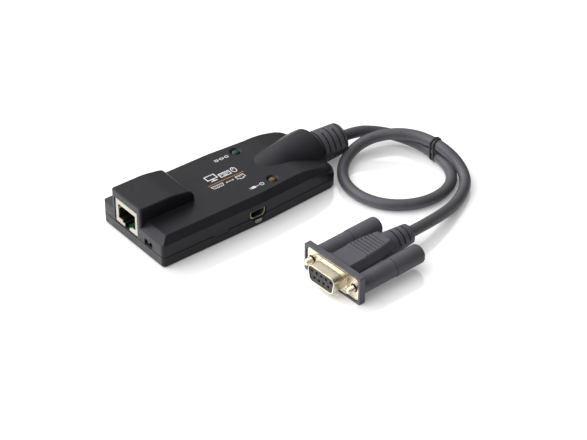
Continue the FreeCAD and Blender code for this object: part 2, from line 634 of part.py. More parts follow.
def make_usb():
    body = new_body("usb_can")
    pad(body, "usb_can_pad", "XZ_Plane", usb_profile("0"), "dims.usb_depth",
        "dims.width / 2 - dims.usb_recess - dims.usb_depth")
    hollow = new_body("usb_hollow")
    pad(hollow, "usb_hollow_pad", "XZ_Plane", usb_profile("-dims.usb_sheet"), "dims.usb_depth",
        "dims.width / 2 - dims.usb_recess - dims.usb_depth + dims.usb_back")
    front = "-(dims.width / 2 - dims.usb_recess)"
    tabs = []
    for side in (-1, 1):
        middle = f"{side} * (dims.usb_width / 2 - dims.usb_sheet / 2 + dims.usb_tab_reach / 2)"
        tabs.append(block(f"usb_tab_{side + 1}", f"dims.usb_place + {middle} - dims.usb_tab_reach / 2",
                          f"{front} + dims.usb_tab_setback", BOARD_TOP, "dims.usb_tab_reach",
                          "dims.usb_tab_length", "dims.usb_tab_thick"))
    in_housing(fuse("usb_can_whole", cut("usb_can_cut", body, hollow), *tabs), "mini_usb_shell")

    back = f"{front} + dims.usb_depth - dims.usb_back"
    tongue_low = f"({USB_LOW} + dims.usb_height / 2 - dims.usb_tongue_thick / 2 + dims.usb_tongue_lift)"
    tongue_high = f"({tongue_low} + dims.usb_tongue_thick)"
    lead = f"({back} - dims.usb_tongue_length)"
    bevel = "dims.usb_tongue_bevel"
    tongue = new_body("usb_tongue")
    points = [(lead, f"{tongue_low} + {bevel}"), (f"{lead} + {bevel}", tongue_low), (back, tongue_low),
              (back, tongue_high), (f"{lead} + {bevel}", tongue_high), (lead, f"{tongue_high} - {bevel}")]
    pad(tongue, "usb_tongue_pad", "YZ_Plane", points, "dims.usb_tongue_width",
        "dims.usb_place - dims.usb_tongue_width / 2")
    in_housing(tongue, "mini_usb_tongue")
    pins = []
    for index in range(USB_PINS):
        along = f"dims.usb_place + ({index} - {(USB_PINS - 1) / 2}) * dims.usb_pin_pitch"
        pins.append(block(f"usb_pin_{index}", f"{along} - dims.usb_pin_width / 2",
                          f"{back} - dims.usb_tongue_length + dims.usb_pin_setback",
                          f"{tongue_low} - dims.usb_pin_thick", "dims.usb_pin_width",
                          "dims.usb_tongue_length - dims.usb_pin_setback", "dims.usb_pin_thick"))
    in_housing(group("usb_pins", *pins), "mini_usb_contacts")


def make_lamp(label, side):
    """Round-topped lamp with a foot rim, standing on two wire legs."""
    top = f"({ROOF_TOP} - dims.lamp_sink)"
    foot = f"({top} - dims.lamp_body)"
    across = f"{side} * dims.lamp_offset"
    body = new_body(f"lens_{label}")
    points = [("0", "0"), ("0", "dims.lamp_flange"), ("dims.lamp_flange_thick", "dims.lamp_flange"),
              ("dims.lamp_flange_thick", "dims.lamp_radius"), ("dims.lamp_body", "dims.lamp_radius"),
              ("dims.lamp_body", "0")]
    lens = revolve(body, f"lens_{label}_turn", points)
    doc.recompute()
    dome = edges_where(lens, lambda edge: edge.BoundBox.XMin > size("lamp_body") - CLOSE)
    dress(body, "Fillet", lens, dome, {"Radius": "dims.lamp_dome"})
    body.Placement = FreeCAD.Placement(FreeCAD.Vector(), FreeCAD.Rotation(Y, -90))
    place(body, LAMP_PLACE, across, foot)
    legs = []
    for leg in (-1, 1):
        legs.append(rod(f"leg_{label}_{leg + 1}", f"{LAMP_PLACE} + {leg} * dims.lamp_pin_gap / 2", across,
                        BOARD_TOP, "dims.lamp_pin", f"{foot} - {BOARD_TOP} + dims.lamp_flange_thick / 2"))
    in_housing(fuse(f"lamp_{label}", body, *legs), label)


def make_switch():
    low = BOARD_TOP
    back = "(dims.wall + dims.slider_gap)"
    side = "dims.switch_middle - dims.switch_body_width / 2"
    can = block("switch_can", back, side, low, "dims.switch_body_depth", "dims.switch_body_width",
                "dims.switch_body_height")
    slider_low = f"({low} + (dims.switch_body_height - dims.slider_height) / 2)"
    slot = block("switch_slot", f"{back} - dims.switch_wall",
                 f"dims.switch_middle - (dims.slider_width + dims.switch_travel) / 2 - dims.slider_gap",
                 f"{slider_low} - dims.slider_gap", "dims.switch_body_depth",
                 "dims.slider_width + dims.switch_travel + 2 * dims.slider_gap",
                 "dims.slider_height + 2 * dims.slider_gap")
    in_housing(cut("switch_can_cut", can, slot), "switch_body")
    reach = f"({back} + dims.switch_body_depth - dims.switch_wall - dims.slider_gap)"
    slider = block("slider_block", f"{back} - dims.slider_reach",
                   "dims.switch_middle - dims.switch_travel / 2 - dims.slider_width / 2 + dims.switch_travel",
                   slider_low, f"dims.slider_reach + {reach} - {back}", "dims.slider_width",
                   "dims.slider_height")
    in_housing(group("slider_placed", slider), "switch_slider")


def make_board_parts():
    chip = block("chip", "dims.chip_place - dims.chip_side / 2", "dims.chip_middle - dims.chip_side / 2",
                 BOARD_TOP, "dims.chip_side", "dims.chip_side", "dims.chip_height")
    in_housing(group("chip_placed", chip), "controller_chip")
    driver = block("driver", f"{BOARD_END} - dims.driver_setback - dims.driver_width / 2",
                   "-dims.driver_length / 2", BOARD_TOP, "dims.driver_width", "dims.driver_length",
                   "dims.driver_height")
    in_housing(group("driver_placed", driver), "serial_driver_chip")
    body = new_body("crystal")
    half_length, half_width = "dims.crystal_length / 2", "dims.crystal_width / 2"
    middle = f"-({POST_ACROSS} - dims.post_radius - dims.crystal_gap - {half_width})"
    points = []
    for along, across in ((-1, -1), (1, -1), (1, 1), (-1, 1)):
        points.append((f"dims.crystal_place + {along} * {half_length}",
                       f"{middle} + {across} * {half_width}"))
    pad(body, "crystal_pad", "XY_Plane", points, "dims.crystal_height", BOARD_TOP,
        {corner: "dims.crystal_corner" for corner in range(len(points))})
    in_housing(body, "crystal_can")
    cans = []
    for index in range(CAPACITORS):
        cans.append(rod(f"capacitor_{index}", f"dims.capacitor_place + {index} * dims.capacitor_pitch",
                        "dims.capacitor_middle", BOARD_TOP, "dims.capacitor_radius", "dims.capacitor_height"))
    in_housing(group("capacitors", *cans), "capacitors")


def make_lead_header():
    """Open-topped header on the board, the crimp plug in it and the lead's cores."""
    x, y = f"({BOARD_END} - dims.header_setback)", "-dims.header_width / 2"
    wall = "dims.header_wall"
    tray = block("header_tray", x, y, BOARD_TOP, "dims.header_length", "dims.header_width",
                 "dims.header_height")
    well = block("header_well", f"{x} + {wall}", f"{y} + {wall}", f"{BOARD_TOP} + dims.header_sole",
                 "dims.header_length", f"dims.header_width - 2 * {wall}", "dims.header_height")
    in_housing(cut("header_cut", tray, well), "lead_header")
    gap = "dims.lead_plug_gap"
    plug = block("lead_plug", f"{x} + {wall} + {gap}", f"{y} + {wall} + {gap}",
                 f"{BOARD_TOP} + dims.header_sole", "dims.lead_plug_length",
                 f"dims.header_width - 2 * ({wall} + {gap})", "dims.header_height - dims.header_sole")
    in_housing(group("lead_plug_placed", plug), "lead_header_plug")
    start = f"({x} + {wall} + {gap} + dims.lead_plug_length)"
    height = f"{BOARD_TOP} + (dims.header_height + dims.header_sole) / 2"
    collar = "(dims.length - dims.wall - dims.fit_gap - dims.boot_collar_thick)"
    cores = []
    for index in range(CORES):
        across = f"({index} - {(CORES - 1) / 2}) * dims.core_pitch"
        cores.append(rod(f"core_{index}", start, across, height, "dims.core_radius",
                         f"{collar} - {start}", ALONG_X))
    in_housing(group("cores", *cores), "lead_cores")


# Lead, its strain relief and its tie

def ring_slot(name, along, width, outside, depth, start, sweep):
    """One slot part of the way round a strain relief, from an angle and over a sweep, by way of +Y."""
    arc = rod(name + "_arc", along, "0", "0", f"({outside}) + dims.overrun", width, ALONG_X, sweep)
    arc.Placement.Rotation = FreeCAD.Rotation(X, start).multiply(ALONG_X)
    core = rod(name + "_core", f"({along}) - dims.overrun", "0", "0", f"({outside}) - ({depth})",
               f"({width}) + 2 * dims.overrun", ALONG_X)
    return cut(name, arc, core)


def ring_slots(name, first, pitch, count, width, depth, outside, split):
    """Slots over the top of a strain relief, and shorter ones under it half a pitch further on.

    If split is set, a bridge divides every second slot over the top.
    """
    sweep = "(360 - 2 * dims.slot_start)"
    half = f"({sweep} - dims.slot_bridge) / 2"
    tools = []
    for index in range(count):
        along = f"({first}) + {index} * ({pitch})"
        arcs = [(size("slot_start"), sweep)]
        if split and index % 2:
            arcs = [(size("slot_start"), half), (180 + size("slot_bridge") / 2, half)]
        for piece, (start, length) in enumerate(arcs):
            tools.append(ring_slot(f"{name}_{index}_{piece}", along, width, outside, depth, start, length))
        if index < count - 1:
            tools.append(ring_slot(f"{name}_{index}_low", f"{along} + ({pitch}) / 2", width, outside, depth,
                                   -size("slot_low_sweep") / 2, "dims.slot_low_sweep"))
    return tools


def make_boot():
    """Strain relief: collar inside the housing, neck in the tail wall, slotted taper outside."""
    tail = "(dims.length + dims.fit_gap)"
    wall_in = "(dims.length - dims.wall - dims.fit_gap)"
    tip = f"({tail} + dims.boot_length)"
    collar = "(dims.lead_height - dims.floor - dims.collar_gap)"
    body = new_body("boot")
    points = [
        (f"{wall_in} - dims.boot_collar_thick", "0"),
        (f"{wall_in} - dims.boot_collar_thick", collar),
        (wall_in, collar), (wall_in, "dims.boot_neck"), (tail, "dims.boot_neck"),
        (tail, "dims.boot_root"), (f"{tip} - dims.boot_bevel", "dims.boot_tip"),
        (tip, "dims.boot_tip - dims.boot_bevel"), (tip, "0"),
    ]
    revolve(body, "boot_turn", points)
    slots = ring_slots("boot_slot", f"{tail} + dims.boot_slot_first", "dims.boot_slot_pitch",
                       int(size("boot_slots")), "dims.boot_slot_width", "dims.boot_slot_depth",
                       "dims.boot_root", True)
    piece = cut("boot_cut", body, *slots)
    subpart(piece, "lead_strain_relief", x="-dims.length / 2", z="dims.lead_height")


# The lead's run between the straight ends at its two strain reliefs: distances from the tip of the first
# one along X and Y, and the height in lead radii. It loops once and crosses over itself at the tie.
LEAD_ROUTE = [
    (20.0, -3.6, 2.20), (27.2, -10.5, 1.40), (30.0, -20.0, 1.32), (30.4, -31.0, 1.32), (28.5, -42.0, 1.12),
    (22.2, -50.5, 1.04), (11.7, -54.5, 1.04), (-0.3, -53.0, 1.04), (-10.3, -46.0, 1.04), (-15.3, -35.0, 1.04),
    (-14.3, -23.0, 1.04), (-7.8, -12.9, 1.08), (1.7, -7.0, 1.60), (11.7, -7.4, 2.88), (21.2, -13.0, 3.56),
    (27.3, -19.8, 3.60), (29.9, -27.6, 3.52), (30.7, -36.0, 3.40), (31.4, -44.0, 2.20), (28.2, -52.6, 1.20),
    (20.8, -58.9, 1.04), (10.7, -63.8, 1.12), (0.9, -67.3, 1.90),
]


def lead_points():
    """The route in the shared frame, from one strain relief's tip to the other's."""
    tip = size("length") / 2 + size("fit_gap") + size("boot_length")
    straight = size("lead_straight")
    heading = math.radians(size("plug_heading"))
    rearward = FreeCAD.Vector(math.cos(heading), math.sin(heading), 0)
    front = FreeCAD.Vector(tip + size("plug_x"), size("plug_y"), size("flange_height") / 2)
    end = front + rearward * (size("core_end") + size("tail_boot_length"))
    start = FreeCAD.Vector(tip, 0, size("lead_height"))
    points = [start, start + X * straight]
    for along, across, lift in LEAD_ROUTE:
        points.append(FreeCAD.Vector(tip + along, across, lift * size("lead_radius")))
    return points + [end + rearward * straight, end]


def lead_path(corners):
    """Straight runs joined by tangent arcs, each as large as its two runs allow."""
    edges = []
    radii = []
    last = corners[0]
    for before, corner, after in zip(corners, corners[1:], corners[2:]):
        back = (before - corner).normalize()
        ahead = (after - corner).normalize()
        reach = ARC_SHARE * min(before.distanceToPoint(corner), after.distanceToPoint(corner))
        half_turn = (math.pi - back.getAngle(ahead)) / 2
        radius = reach / math.tan(half_turn)
        start = corner + back * reach
        end = corner + ahead * reach
        inward = (back + ahead).normalize()
        middle = corner + inward * (radius / math.cos(half_turn) - radius)
        edges.append(Part.LineSegment(last, start).toShape())
        edges.append(Part.Arc(start, middle, end).toShape())
        radii.append(radius)
        last = end
    edges.append(Part.LineSegment(last, corners[-1]).toShape())
    return Part.Wire(edges), radii


def make_lead():
    points = lead_points()
    path, radii = lead_path(points)
    circle = Part.Circle(points[0], points[1] - points[0], size("lead_radius"))
    tube = path.makePipeShell([Part.Wire([circle.toShape()])], True, False)
    lead = doc.addObject("Part::Feature", "lead")
    lead.Shape = tube
    lead.Label = "signal_lead"
    SUBPARTS.append(lead)
    ideal = math.pi * size("lead_radius") ** 2 * path.Length
    print("lead length", round(path.Length, 1), "smallest radius", round(min(radii), 1),
          "volume ratio", round(tube.Volume / ideal, 4))
    print("lead radii", [round(radius, 1) for radius in radii])


def make_tie():
    """Flat tie round the two strands where one lies on the other."""
    inner = "(dims.lead_radius + dims.tie_gap)"

    def band(name, radius, lift):
        body = new_body(name)
        half = f"({radius})"
        low = f"dims.strand_low * dims.lead_radius - {half}"
        high = f"dims.strand_high * dims.lead_radius + {half}"
        points = [(f"-{half}", low), (half, low), (half, high), (f"-{half}", high)]
        pad(body, name + "_pad", "XZ_Plane", points, f"dims.tie_width + 2 * ({lift})",
            f"-dims.tie_width / 2 - ({lift})",
            {corner: f"{half} * dims.tie_round" for corner in range(len(points))})
        return body

    outside = band("tie_outside", f"{inner} + dims.tie_thick", "0")
    ring = cut("tie_ring", outside, band("tie_inside", inner, "dims.overrun"))
    subpart(ring, "lead_tie", f"{BOOT_TIP} + dims.tie_x", "dims.tie_y", "0", "dims.tie_heading")


# D connector, drawn from the front of its flange, with +X to the rear

MIDDLE = "(dims.flange_height / 2)"
SHANK = "(dims.screw_radius - dims.thread_depth)"


def rounded_slab(name, half_width, height, x, thick, corner):
    """Upright slab, centred on the connector's middle, with rounded corners."""
    body = new_body(name)
    low, high = f"{MIDDLE} - ({height}) / 2", f"{MIDDLE} + ({height}) / 2"
    points = [(f"-({half_width})", low), (half_width, low), (half_width, high), (f"-({half_width})", high)]
    pad(body, name + "_pad", "YZ_Plane", points, thick, x, {index: corner for index in range(len(points))})
    return body


def d_form(name, shrink, x, length):
    """D-shaped bar, wide side up."""
    body = new_body(name)
    half = f"(dims.d_width / 2 - ({shrink}))"
    foot = f"({half} - dims.d_slant)"
    low = f"{MIDDLE} - dims.d_height / 2 + ({shrink})"
    high = f"{MIDDLE} + dims.d_height / 2 - ({shrink})"
    points = [(f"-{foot}", low), (foot, low), (half, high), (f"-{half}", high)]
    pad(body, name + "_pad", "YZ_Plane", points, length, x,
        {corner: f"dims.d_corner - ({shrink})" for corner in range(len(points))})
    return body


def make_d_shell():
    front = "-dims.d_reach"
    back = "(dims.plate_recess + dims.plate_thick)"
    plate = rounded_slab("d_plate", "dims.plate_width / 2", "dims.plate_height", "dims.plate_recess",
                         "dims.plate_thick", "dims.plate_corner")
    platform = rounded_slab("d_platform", "dims.d_width / 2 + dims.platform_margin",
                            "dims.d_height + 2 * dims.platform_rise",
                            "dims.plate_recess - dims.platform_thick", "dims.platform_thick",
                            "dims.platform_corner")
    rim = d_form("d_rim", "0", front, f"dims.d_reach + {back}")
    tools = [d_form("d_hollow", "dims.d_sheet", f"{front} - dims.overrun",
                    f"dims.d_reach + {back} + 2 * dims.overrun")]
    for side in (-1, 1):
        tools.append(rod(f"d_plate_hole_{side + 1}", "dims.plate_recess - dims.overrun",
                         f"{side} * dims.screw_pitch / 2", MIDDLE,
                         "dims.screw_radius + dims.screw_plate_gap",
                         "dims.plate_thick + 2 * dims.overrun", ALONG_X))
    in_plug(cut("d_shell_cut", fuse("d_shell_whole", plate, platform, rim), *tools), "db9_shell")


def pin_places():
    """Nine places: five in the upper row, four between them below."""
    places = []
    for count, row in ((5, 1), (4, -1)):
        for index in range(count):
            places.append((f"({index} - {(count - 1) / 2}) * dims.pin_pitch",
                           f"{MIDDLE} + {row} * dims.row_pitch / 2"))
    return places


def make_d_insert():
    front = "(dims.insert_recess - dims.d_reach)"
    back = "(dims.plate_recess + dims.plate_thick)"
    bar = d_form("insert_bar", "dims.d_sheet", front, f"{back} - {front}")
    holes = []
    pins = []
    for index, (across, up) in enumerate(pin_places()):
        holes.append(rod(f"insert_hole_{index}", f"{front} - dims.overrun", across, up, "dims.pin_hole",
                         f"{back} - {front} + 2 * dims.overrun", ALONG_X))
        tube = rod(f"pin_{index}", f"{front} + dims.pin_setback", across, up, "dims.pin_radius",
                   f"{back} - {front} - dims.pin_setback", ALONG_X)
        bore = rod(f"pin_bore_{index}", f"{front} + dims.pin_setback - dims.overrun", across, up,
                   "dims.pin_bore", "dims.pin_bore_depth + dims.overrun", ALONG_X)
        pins.append(cut(f"pin_tube_{index}", tube, bore))
    in_plug(cut("insert_cut", bar, *holes), "db9_insert")
    in_plug(group("pins", *pins), "db9_contacts")


def core_section(half, inset):
    """Eight-sided section of the overmould, with sloped long edges."""
    low = f"dims.core_low + ({inset})"
    high = f"dims.flange_height - dims.core_low - ({inset})"
    flat = f"({half} - dims.core_slope_run)"
    return [
        (f"-{flat}", low), (flat, low), (half, f"{low} + dims.core_slope_drop"),
        (half, f"{high} - dims.core_slope_drop"), (flat, high), (f"-{flat}", high),
        (f"-{half}", f"{high} - dims.core_slope_drop"), (f"-{half}", f"{low} + dims.core_slope_drop"),
    ]


def hood_core():
    """Middle of the overmould: narrows to a waist, then to its strain relief, and ends in a bevel."""
    body = new_body("core")
    stations = [
        ("dims.flange_thick / 2", "dims.core_half", "0"), ("dims.core_waist_at", "dims.core_waist", "0"),
        ("dims.core_end - dims.core_bevel", "dims.core_tail", "0"),
        ("dims.core_end", "(dims.core_tail - dims.core_bevel)", "dims.core_bevel / 2"),
    ]
    sections = []
    for index, (along, half, inset) in enumerate(stations):
        points = core_section(half, inset)
        rounds = {corner: "dims.core_edge" for corner in range(len(points))}
        sections.append(outline(body, f"core_section_{index}", "YZ_Plane", points, along, rounds))
    loft = body.newObject("PartDesign::AdditiveLoft", "core_loft")
    loft.Profile = sections[0]
    loft.Sections = sections[1:]
    loft.Ruled = True
    return body


def make_plug_hood():
    flange = rounded_slab("flange", "dims.flange_width / 2", "dims.flange_height", "0", "dims.flange_thick",
                          "dims.flange_corner")
    pieces = [flange, hood_core()]
    tools = []
    for side in (-1, 1):
        across = f"{side} * dims.screw_pitch / 2"
        pieces.append(rod(f"side_tube_{side + 1}", "dims.flange_thick / 2", across, MIDDLE,
                          "dims.tube_radius",
                          "dims.knob_start - dims.knob_gap - dims.flange_thick / 2", ALONG_X))
        tools.append(rod(f"screw_bore_{side + 1}", "-dims.overrun", across, MIDDLE,
                         f"{SHANK} + dims.screw_gap", "dims.knob_start + dims.overrun", ALONG_X))
    pieces.append(block("web", "dims.flange_thick / 2", "-dims.screw_pitch / 2", f"{MIDDLE} - dims.web_half",
                        "dims.knob_start - dims.knob_gap - dims.flange_thick / 2", "dims.screw_pitch",
                        "2 * dims.web_half"))
    boot = new_body("tail_boot")
    root = "(dims.core_end - dims.core_bevel)"
    tip = "(dims.core_end + dims.tail_boot_length)"
    points = [(root, "0"), (root, "dims.tail_boot_root"),
              (f"{tip} - dims.tail_boot_bevel", "dims.tail_boot_tip"),
              (tip, "dims.tail_boot_tip - dims.tail_boot_bevel"), (tip, "0")]
    revolve(boot, "tail_boot_turn", points)
    slots = ring_slots("tail_slot", "dims.core_end + dims.tail_slot_first", "dims.tail_slot_pitch",
                       int(size("tail_slots")), "dims.tail_slot_width", "dims.tail_slot_depth",
                       "dims.tail_boot_root", False)
    slotted = place(cut("tail_boot_cut", boot, *slots), z=MIDDLE)
    pieces.append(slotted)
    tools.append(rounded_slab("plate_pocket", "dims.plate_width / 2 + dims.fit_gap",
                              "dims.plate_height + 2 * dims.fit_gap", "-dims.overrun",
                              "dims.overrun + dims.plate_recess + dims.plate_thick", "dims.plate_corner"))
    top = "(dims.flange_height - dims.core_low)"
    tools.append(block("label_panel", "dims.panel_start", "-dims.panel_width / 2",
                       f"{top} - dims.panel_depth", "dims.panel_length", "dims.panel_width", "dims.overrun"))
    for index in range(int(size("grip_count"))):
        length = f"(dims.grip_length - {index} * dims.grip_taper)"
        tools.append(block(f"grip_{index}", f"dims.grip_first + {index} * dims.grip_pitch", f"-{length} / 2",
                           f"{top} - dims.grip_depth", "dims.grip_width", length, "dims.overrun"))
    in_plug(cut("plug_hood_cut", fuse("plug_hood_whole", *pieces), *tools), "db9_hood")


def make_thumbscrew(label, side):
    """A knob and its captive jackscrew, whose threaded tip is thicker than the shank behind it."""
    across = f"{side} * dims.screw_pitch / 2"
    body = new_body(f"knob_{label}")
    far = "dims.knob_start + dims.knob_length"
    knob = revolve(body, f"knob_{label}_turn", [
        ("dims.knob_start", "0"), ("dims.knob_start", "dims.knob_radius"),
        (far, "dims.knob_radius"), (far, "0")])
    doc.recompute()
    end = edges_where(knob, lambda edge: edge.BoundBox.XMin > size("knob_start") + size("knob_edge")
                      and edge.Curve.TypeId == "Part::GeomCircle")
    dress(body, "Fillet", knob, end, {"Radius": "dims.knob_edge"})
    place(body, "0", across, MIDDLE)
    seat = rod(f"knob_bore_{label}", "dims.knob_start - dims.overrun", across, MIDDLE, SHANK,
               "dims.screw_seat + dims.overrun", ALONG_X)
    slot = block(f"knob_slot_{label}", f"{far} - dims.knob_slot_depth", f"{across} - dims.knob_radius",
                 f"{MIDDLE} - dims.knob_slot_width / 2", "dims.knob_slot_depth + dims.overrun",
                 "2 * dims.knob_radius", "dims.knob_slot_width")
    in_plug(cut(f"knob_cut_{label}", body, seat, slot), f"{label}_thumbscrew_knob")
    screw = new_body(f"screw_{label}")
    tip = "-dims.screw_reach"
    thread_end = "(dims.plate_recess - dims.thread_gap)"
    seated = "(dims.knob_start + dims.screw_seat)"
    revolve(screw, f"screw_{label}_turn", [
        (tip, "0"), (tip, "dims.screw_radius - dims.screw_bevel"),
        (f"{tip} + dims.screw_bevel", "dims.screw_radius"), (thread_end, "dims.screw_radius"),
        (thread_end, SHANK), (seated, SHANK), (seated, "0")])
    place(screw, "0", across, MIDDLE)
    in_plug(group(f"screw_{label}_placed", screw), f"{label}_jackscrew")


def main():
    make_upper_shell()
    make_lower_shell()
    make_board()
    make_jack()
    make_jack_contacts()
    make_usb()
    make_lamp("online_lamp", 1)
    make_lamp("power_lamp", -1)
    make_switch()
    make_board_parts()
    make_lead_header()
    make_boot()
    make_lead()
    make_tie()
    make_plug_hood()
    make_d_shell()
    make_d_insert()
    make_thumbscrew("left", 1)
    make_thumbscrew("right", -1)
    doc.recompute()


main()
failed = [item.Name for item in doc.Objects if "Invalid" in item.State or "Error" in item.State]
if failed:
    raise RuntimeError(f"these did not build: {failed}")
for piece in SUBPARTS:
    if piece.Shape.isNull() or not piece.Shape.isValid():
        raise RuntimeError(f"{piece.Label} has no valid shape")

os.makedirs("parts", exist_ok=True)
for piece in SUBPARTS:
    piece.Shape.exportStep(f"parts/{piece.Label}.step")
    print(piece.Label, len(piece.Shape.Solids), round(piece.Shape.Volume, 1))
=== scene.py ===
import json
import math

import bmesh
import bpy
from mathutils import Matrix, Vector


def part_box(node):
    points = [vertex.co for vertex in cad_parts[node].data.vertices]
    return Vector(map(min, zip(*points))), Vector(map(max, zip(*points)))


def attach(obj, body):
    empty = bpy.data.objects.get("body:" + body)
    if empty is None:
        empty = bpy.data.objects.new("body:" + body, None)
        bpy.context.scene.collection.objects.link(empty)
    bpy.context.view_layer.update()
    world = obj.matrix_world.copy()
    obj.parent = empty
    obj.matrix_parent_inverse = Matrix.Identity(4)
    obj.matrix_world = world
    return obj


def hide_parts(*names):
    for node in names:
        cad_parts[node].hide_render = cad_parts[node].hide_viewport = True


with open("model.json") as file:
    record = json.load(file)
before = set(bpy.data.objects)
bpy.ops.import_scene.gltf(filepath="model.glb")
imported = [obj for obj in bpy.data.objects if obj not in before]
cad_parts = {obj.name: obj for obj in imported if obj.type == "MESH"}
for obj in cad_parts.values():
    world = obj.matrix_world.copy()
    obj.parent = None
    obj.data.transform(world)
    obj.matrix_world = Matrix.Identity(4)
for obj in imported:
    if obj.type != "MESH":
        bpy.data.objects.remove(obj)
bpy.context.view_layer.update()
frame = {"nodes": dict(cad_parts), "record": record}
NODES = frame["nodes"]
MM = 0.001


# Shader nodes

def add(tree, kind, **settings):
    """A new node with these settings."""
    node = tree.nodes.new(kind)
    for key, value in settings.items():
        setattr(node, key, value)
    return node


# Camera at the photograph's viewing angle

CAMERA_TARGET = Vector((0.0156, -0.0271, 0.0))
CAMERA_AZIMUTH = math.radians(-38.368)
CAMERA_ELEVATION = math.radians(35.727)
CAMERA_DISTANCE = 0.90606
CAMERA_ROLL = math.radians(0.066)
CAMERA_LENS = 133.55
SENSOR_WIDTH = 36.0
CAMERA_NEAR = 0.01


def make_camera():
    data = bpy.data.cameras.new("camera")
    data.lens = CAMERA_LENS
    data.sensor_width = SENSOR_WIDTH
    data.clip_start = CAMERA_NEAR
    camera = bpy.data.objects.new("camera", data)
    bpy.context.scene.collection.objects.link(camera)
    level = math.cos(CAMERA_ELEVATION)
    back = Vector((math.sin(CAMERA_AZIMUTH) * level, -math.cos(CAMERA_AZIMUTH) * level,
                   math.sin(CAMERA_ELEVATION)))
    camera.location = CAMERA_TARGET + back * CAMERA_DISTANCE
    turn = back.to_track_quat("Z", "Y").to_matrix() @ Matrix.Rotation(CAMERA_ROLL, 3, "Z")
    camera.rotation_euler = turn.to_euler()
    bpy.context.scene.camera = camera


# Floor and studio light

FLOOR_HALF = 3.0
FLOOR_COLOUR = (0.9, 0.9, 0.9, 1.0)
FLOOR_MIRROR = 0.22
FLOOR_ROUGHNESS = 0.08
FLOOR_GLOW = 0.2
BRIGHT_SIDE = Vector((-0.6, 0.6, 0.55)).normalized()
DIM_LEVEL = 0.35
BRIGHT_RISE = 2.6
HORIZON_LEVEL = 0.35
HORIZON_START, HORIZON_END = 0.0, 0.5
STUDIO_COLOUR = (1.0, 1.0, 1.0, 1.0)


def make_floor():
    mesh = bpy.data.meshes.new("floor")
    corners = [(-FLOOR_HALF, -FLOOR_HALF, 0), (FLOOR_HALF, -FLOOR_HALF, 0),
               (FLOOR_HALF, FLOOR_HALF, 0), (-FLOOR_HALF, FLOOR_HALF, 0)]
    mesh.from_pydata(corners, [], [(0, 1, 2, 3)])
    floor = bpy.data.objects.new("floor", mesh)
    bpy.context.scene.collection.objects.link(floor)
    material = bpy.data.materials.new("floor")
    material.use_nodes = True
    shader = material.node_tree.nodes["Principled BSDF"]
    shader.inputs["Base Color"].default_value = FLOOR_COLOUR
    shader.inputs["Roughness"].default_value = FLOOR_ROUGHNESS
    shader.inputs["Metallic"].default_value = FLOOR_MIRROR
    shader.inputs["Emission Color"].default_value = FLOOR_COLOUR
    shader.inputs["Emission Strength"].default_value = FLOOR_GLOW
    mesh.materials.append(material)


def make_studio():
    """Soft light all round, brightest from behind on the left and dimmest from the front right."""
    world = bpy.data.worlds.new("studio")
    world.use_nodes = True
    tree = world.node_tree
    direction = add(tree, "ShaderNodeTexCoord")
    towards = add(tree, "ShaderNodeVectorMath", operation="DOT_PRODUCT")
    towards.inputs[1].default_value = BRIGHT_SIDE
    tree.links.new(direction.outputs["Generated"], towards.inputs[0])
    rise = add(tree, "ShaderNodeMath", operation="MULTIPLY")
    rise.inputs[1].default_value = BRIGHT_RISE
    tree.links.new(towards.outputs["Value"], rise.inputs[0])
    steep = add(tree, "ShaderNodeMath", operation="EXPONENT")
    tree.links.new(rise.outputs["Value"], steep.inputs[0])
    height = add(tree, "ShaderNodeSeparateXYZ")
    tree.links.new(direction.outputs["Generated"], height.inputs["Vector"])
    overhead = add(tree, "ShaderNodeMapRange", interpolation_type="SMOOTHSTEP")
    overhead.inputs["From Min"].default_value = HORIZON_START
    overhead.inputs["From Max"].default_value = HORIZON_END
    overhead.inputs["To Min"].default_value = HORIZON_LEVEL * DIM_LEVEL
    overhead.inputs["To Max"].default_value = DIM_LEVEL
    tree.links.new(height.outputs["Z"], overhead.inputs["Value"])
    level = add(tree, "ShaderNodeMath", operation="MULTIPLY")
    tree.links.new(steep.outputs["Value"], level.inputs[0])
    tree.links.new(overhead.outputs["Result"], level.inputs[1])
    tree.links.new(level.outputs["Value"], tree.nodes["Background"].inputs["Strength"])
    tree.nodes["Background"].inputs["Color"].default_value = STUDIO_COLOUR
    bpy.context.scene.world = world
    bpy.context.scene.view_settings.view_transform = "Standard"


# Materials

NOISE_LOW, NOISE_HIGH = 0.3, 0.7
MIX_FACTOR, MIX_FIRST, MIX_SECOND, MIX_RESULT = 0, 6, 7, 2
BEVEL_SAMPLES = 6
EDGE_TURN = 0.8


def new_material(name, roughness, metallic=0.0, specular=0.5):
    """An empty Principled material and its node tree."""
    material = bpy.data.materials.new(name)
    material.use_nodes = True
    shader = material.node_tree.nodes["Principled BSDF"]
    shader.inputs["Roughness"].default_value = roughness
    shader.inputs["Metallic"].default_value = metallic
    shader.inputs["Specular IOR Level"].default_value = specular
    return material, material.node_tree, shader


def noise(tree, size, detail=2.0, stretch=None):
    """Noise whose grains are about this size, in metres, fixed to the piece."""
    place = add(tree, "ShaderNodeTexCoord")
    texture = add(tree, "ShaderNodeTexNoise")
    texture.inputs["Scale"].default_value = 1.0 / size
    texture.inputs["Detail"].default_value = detail
    if stretch:
        mapping = add(tree, "ShaderNodeMapping")
        mapping.inputs["Scale"].default_value = stretch
        tree.links.new(place.outputs["Object"], mapping.inputs["Vector"])
        tree.links.new(mapping.outputs["Vector"], texture.inputs["Vector"])
    else:
        tree.links.new(place.outputs["Object"], texture.inputs["Vector"])
    return texture.outputs["Fac"]


def spread(tree, value, low, high):
    """A noise value stretched over a range."""
    node = add(tree, "ShaderNodeMapRange")
    node.inputs["From Min"].default_value = NOISE_LOW
    node.inputs["From Max"].default_value = NOISE_HIGH
    node.inputs["To Min"].default_value = low
    node.inputs["To Max"].default_value = high
    tree.links.new(value, node.inputs["Value"])
    return node.outputs["Result"]


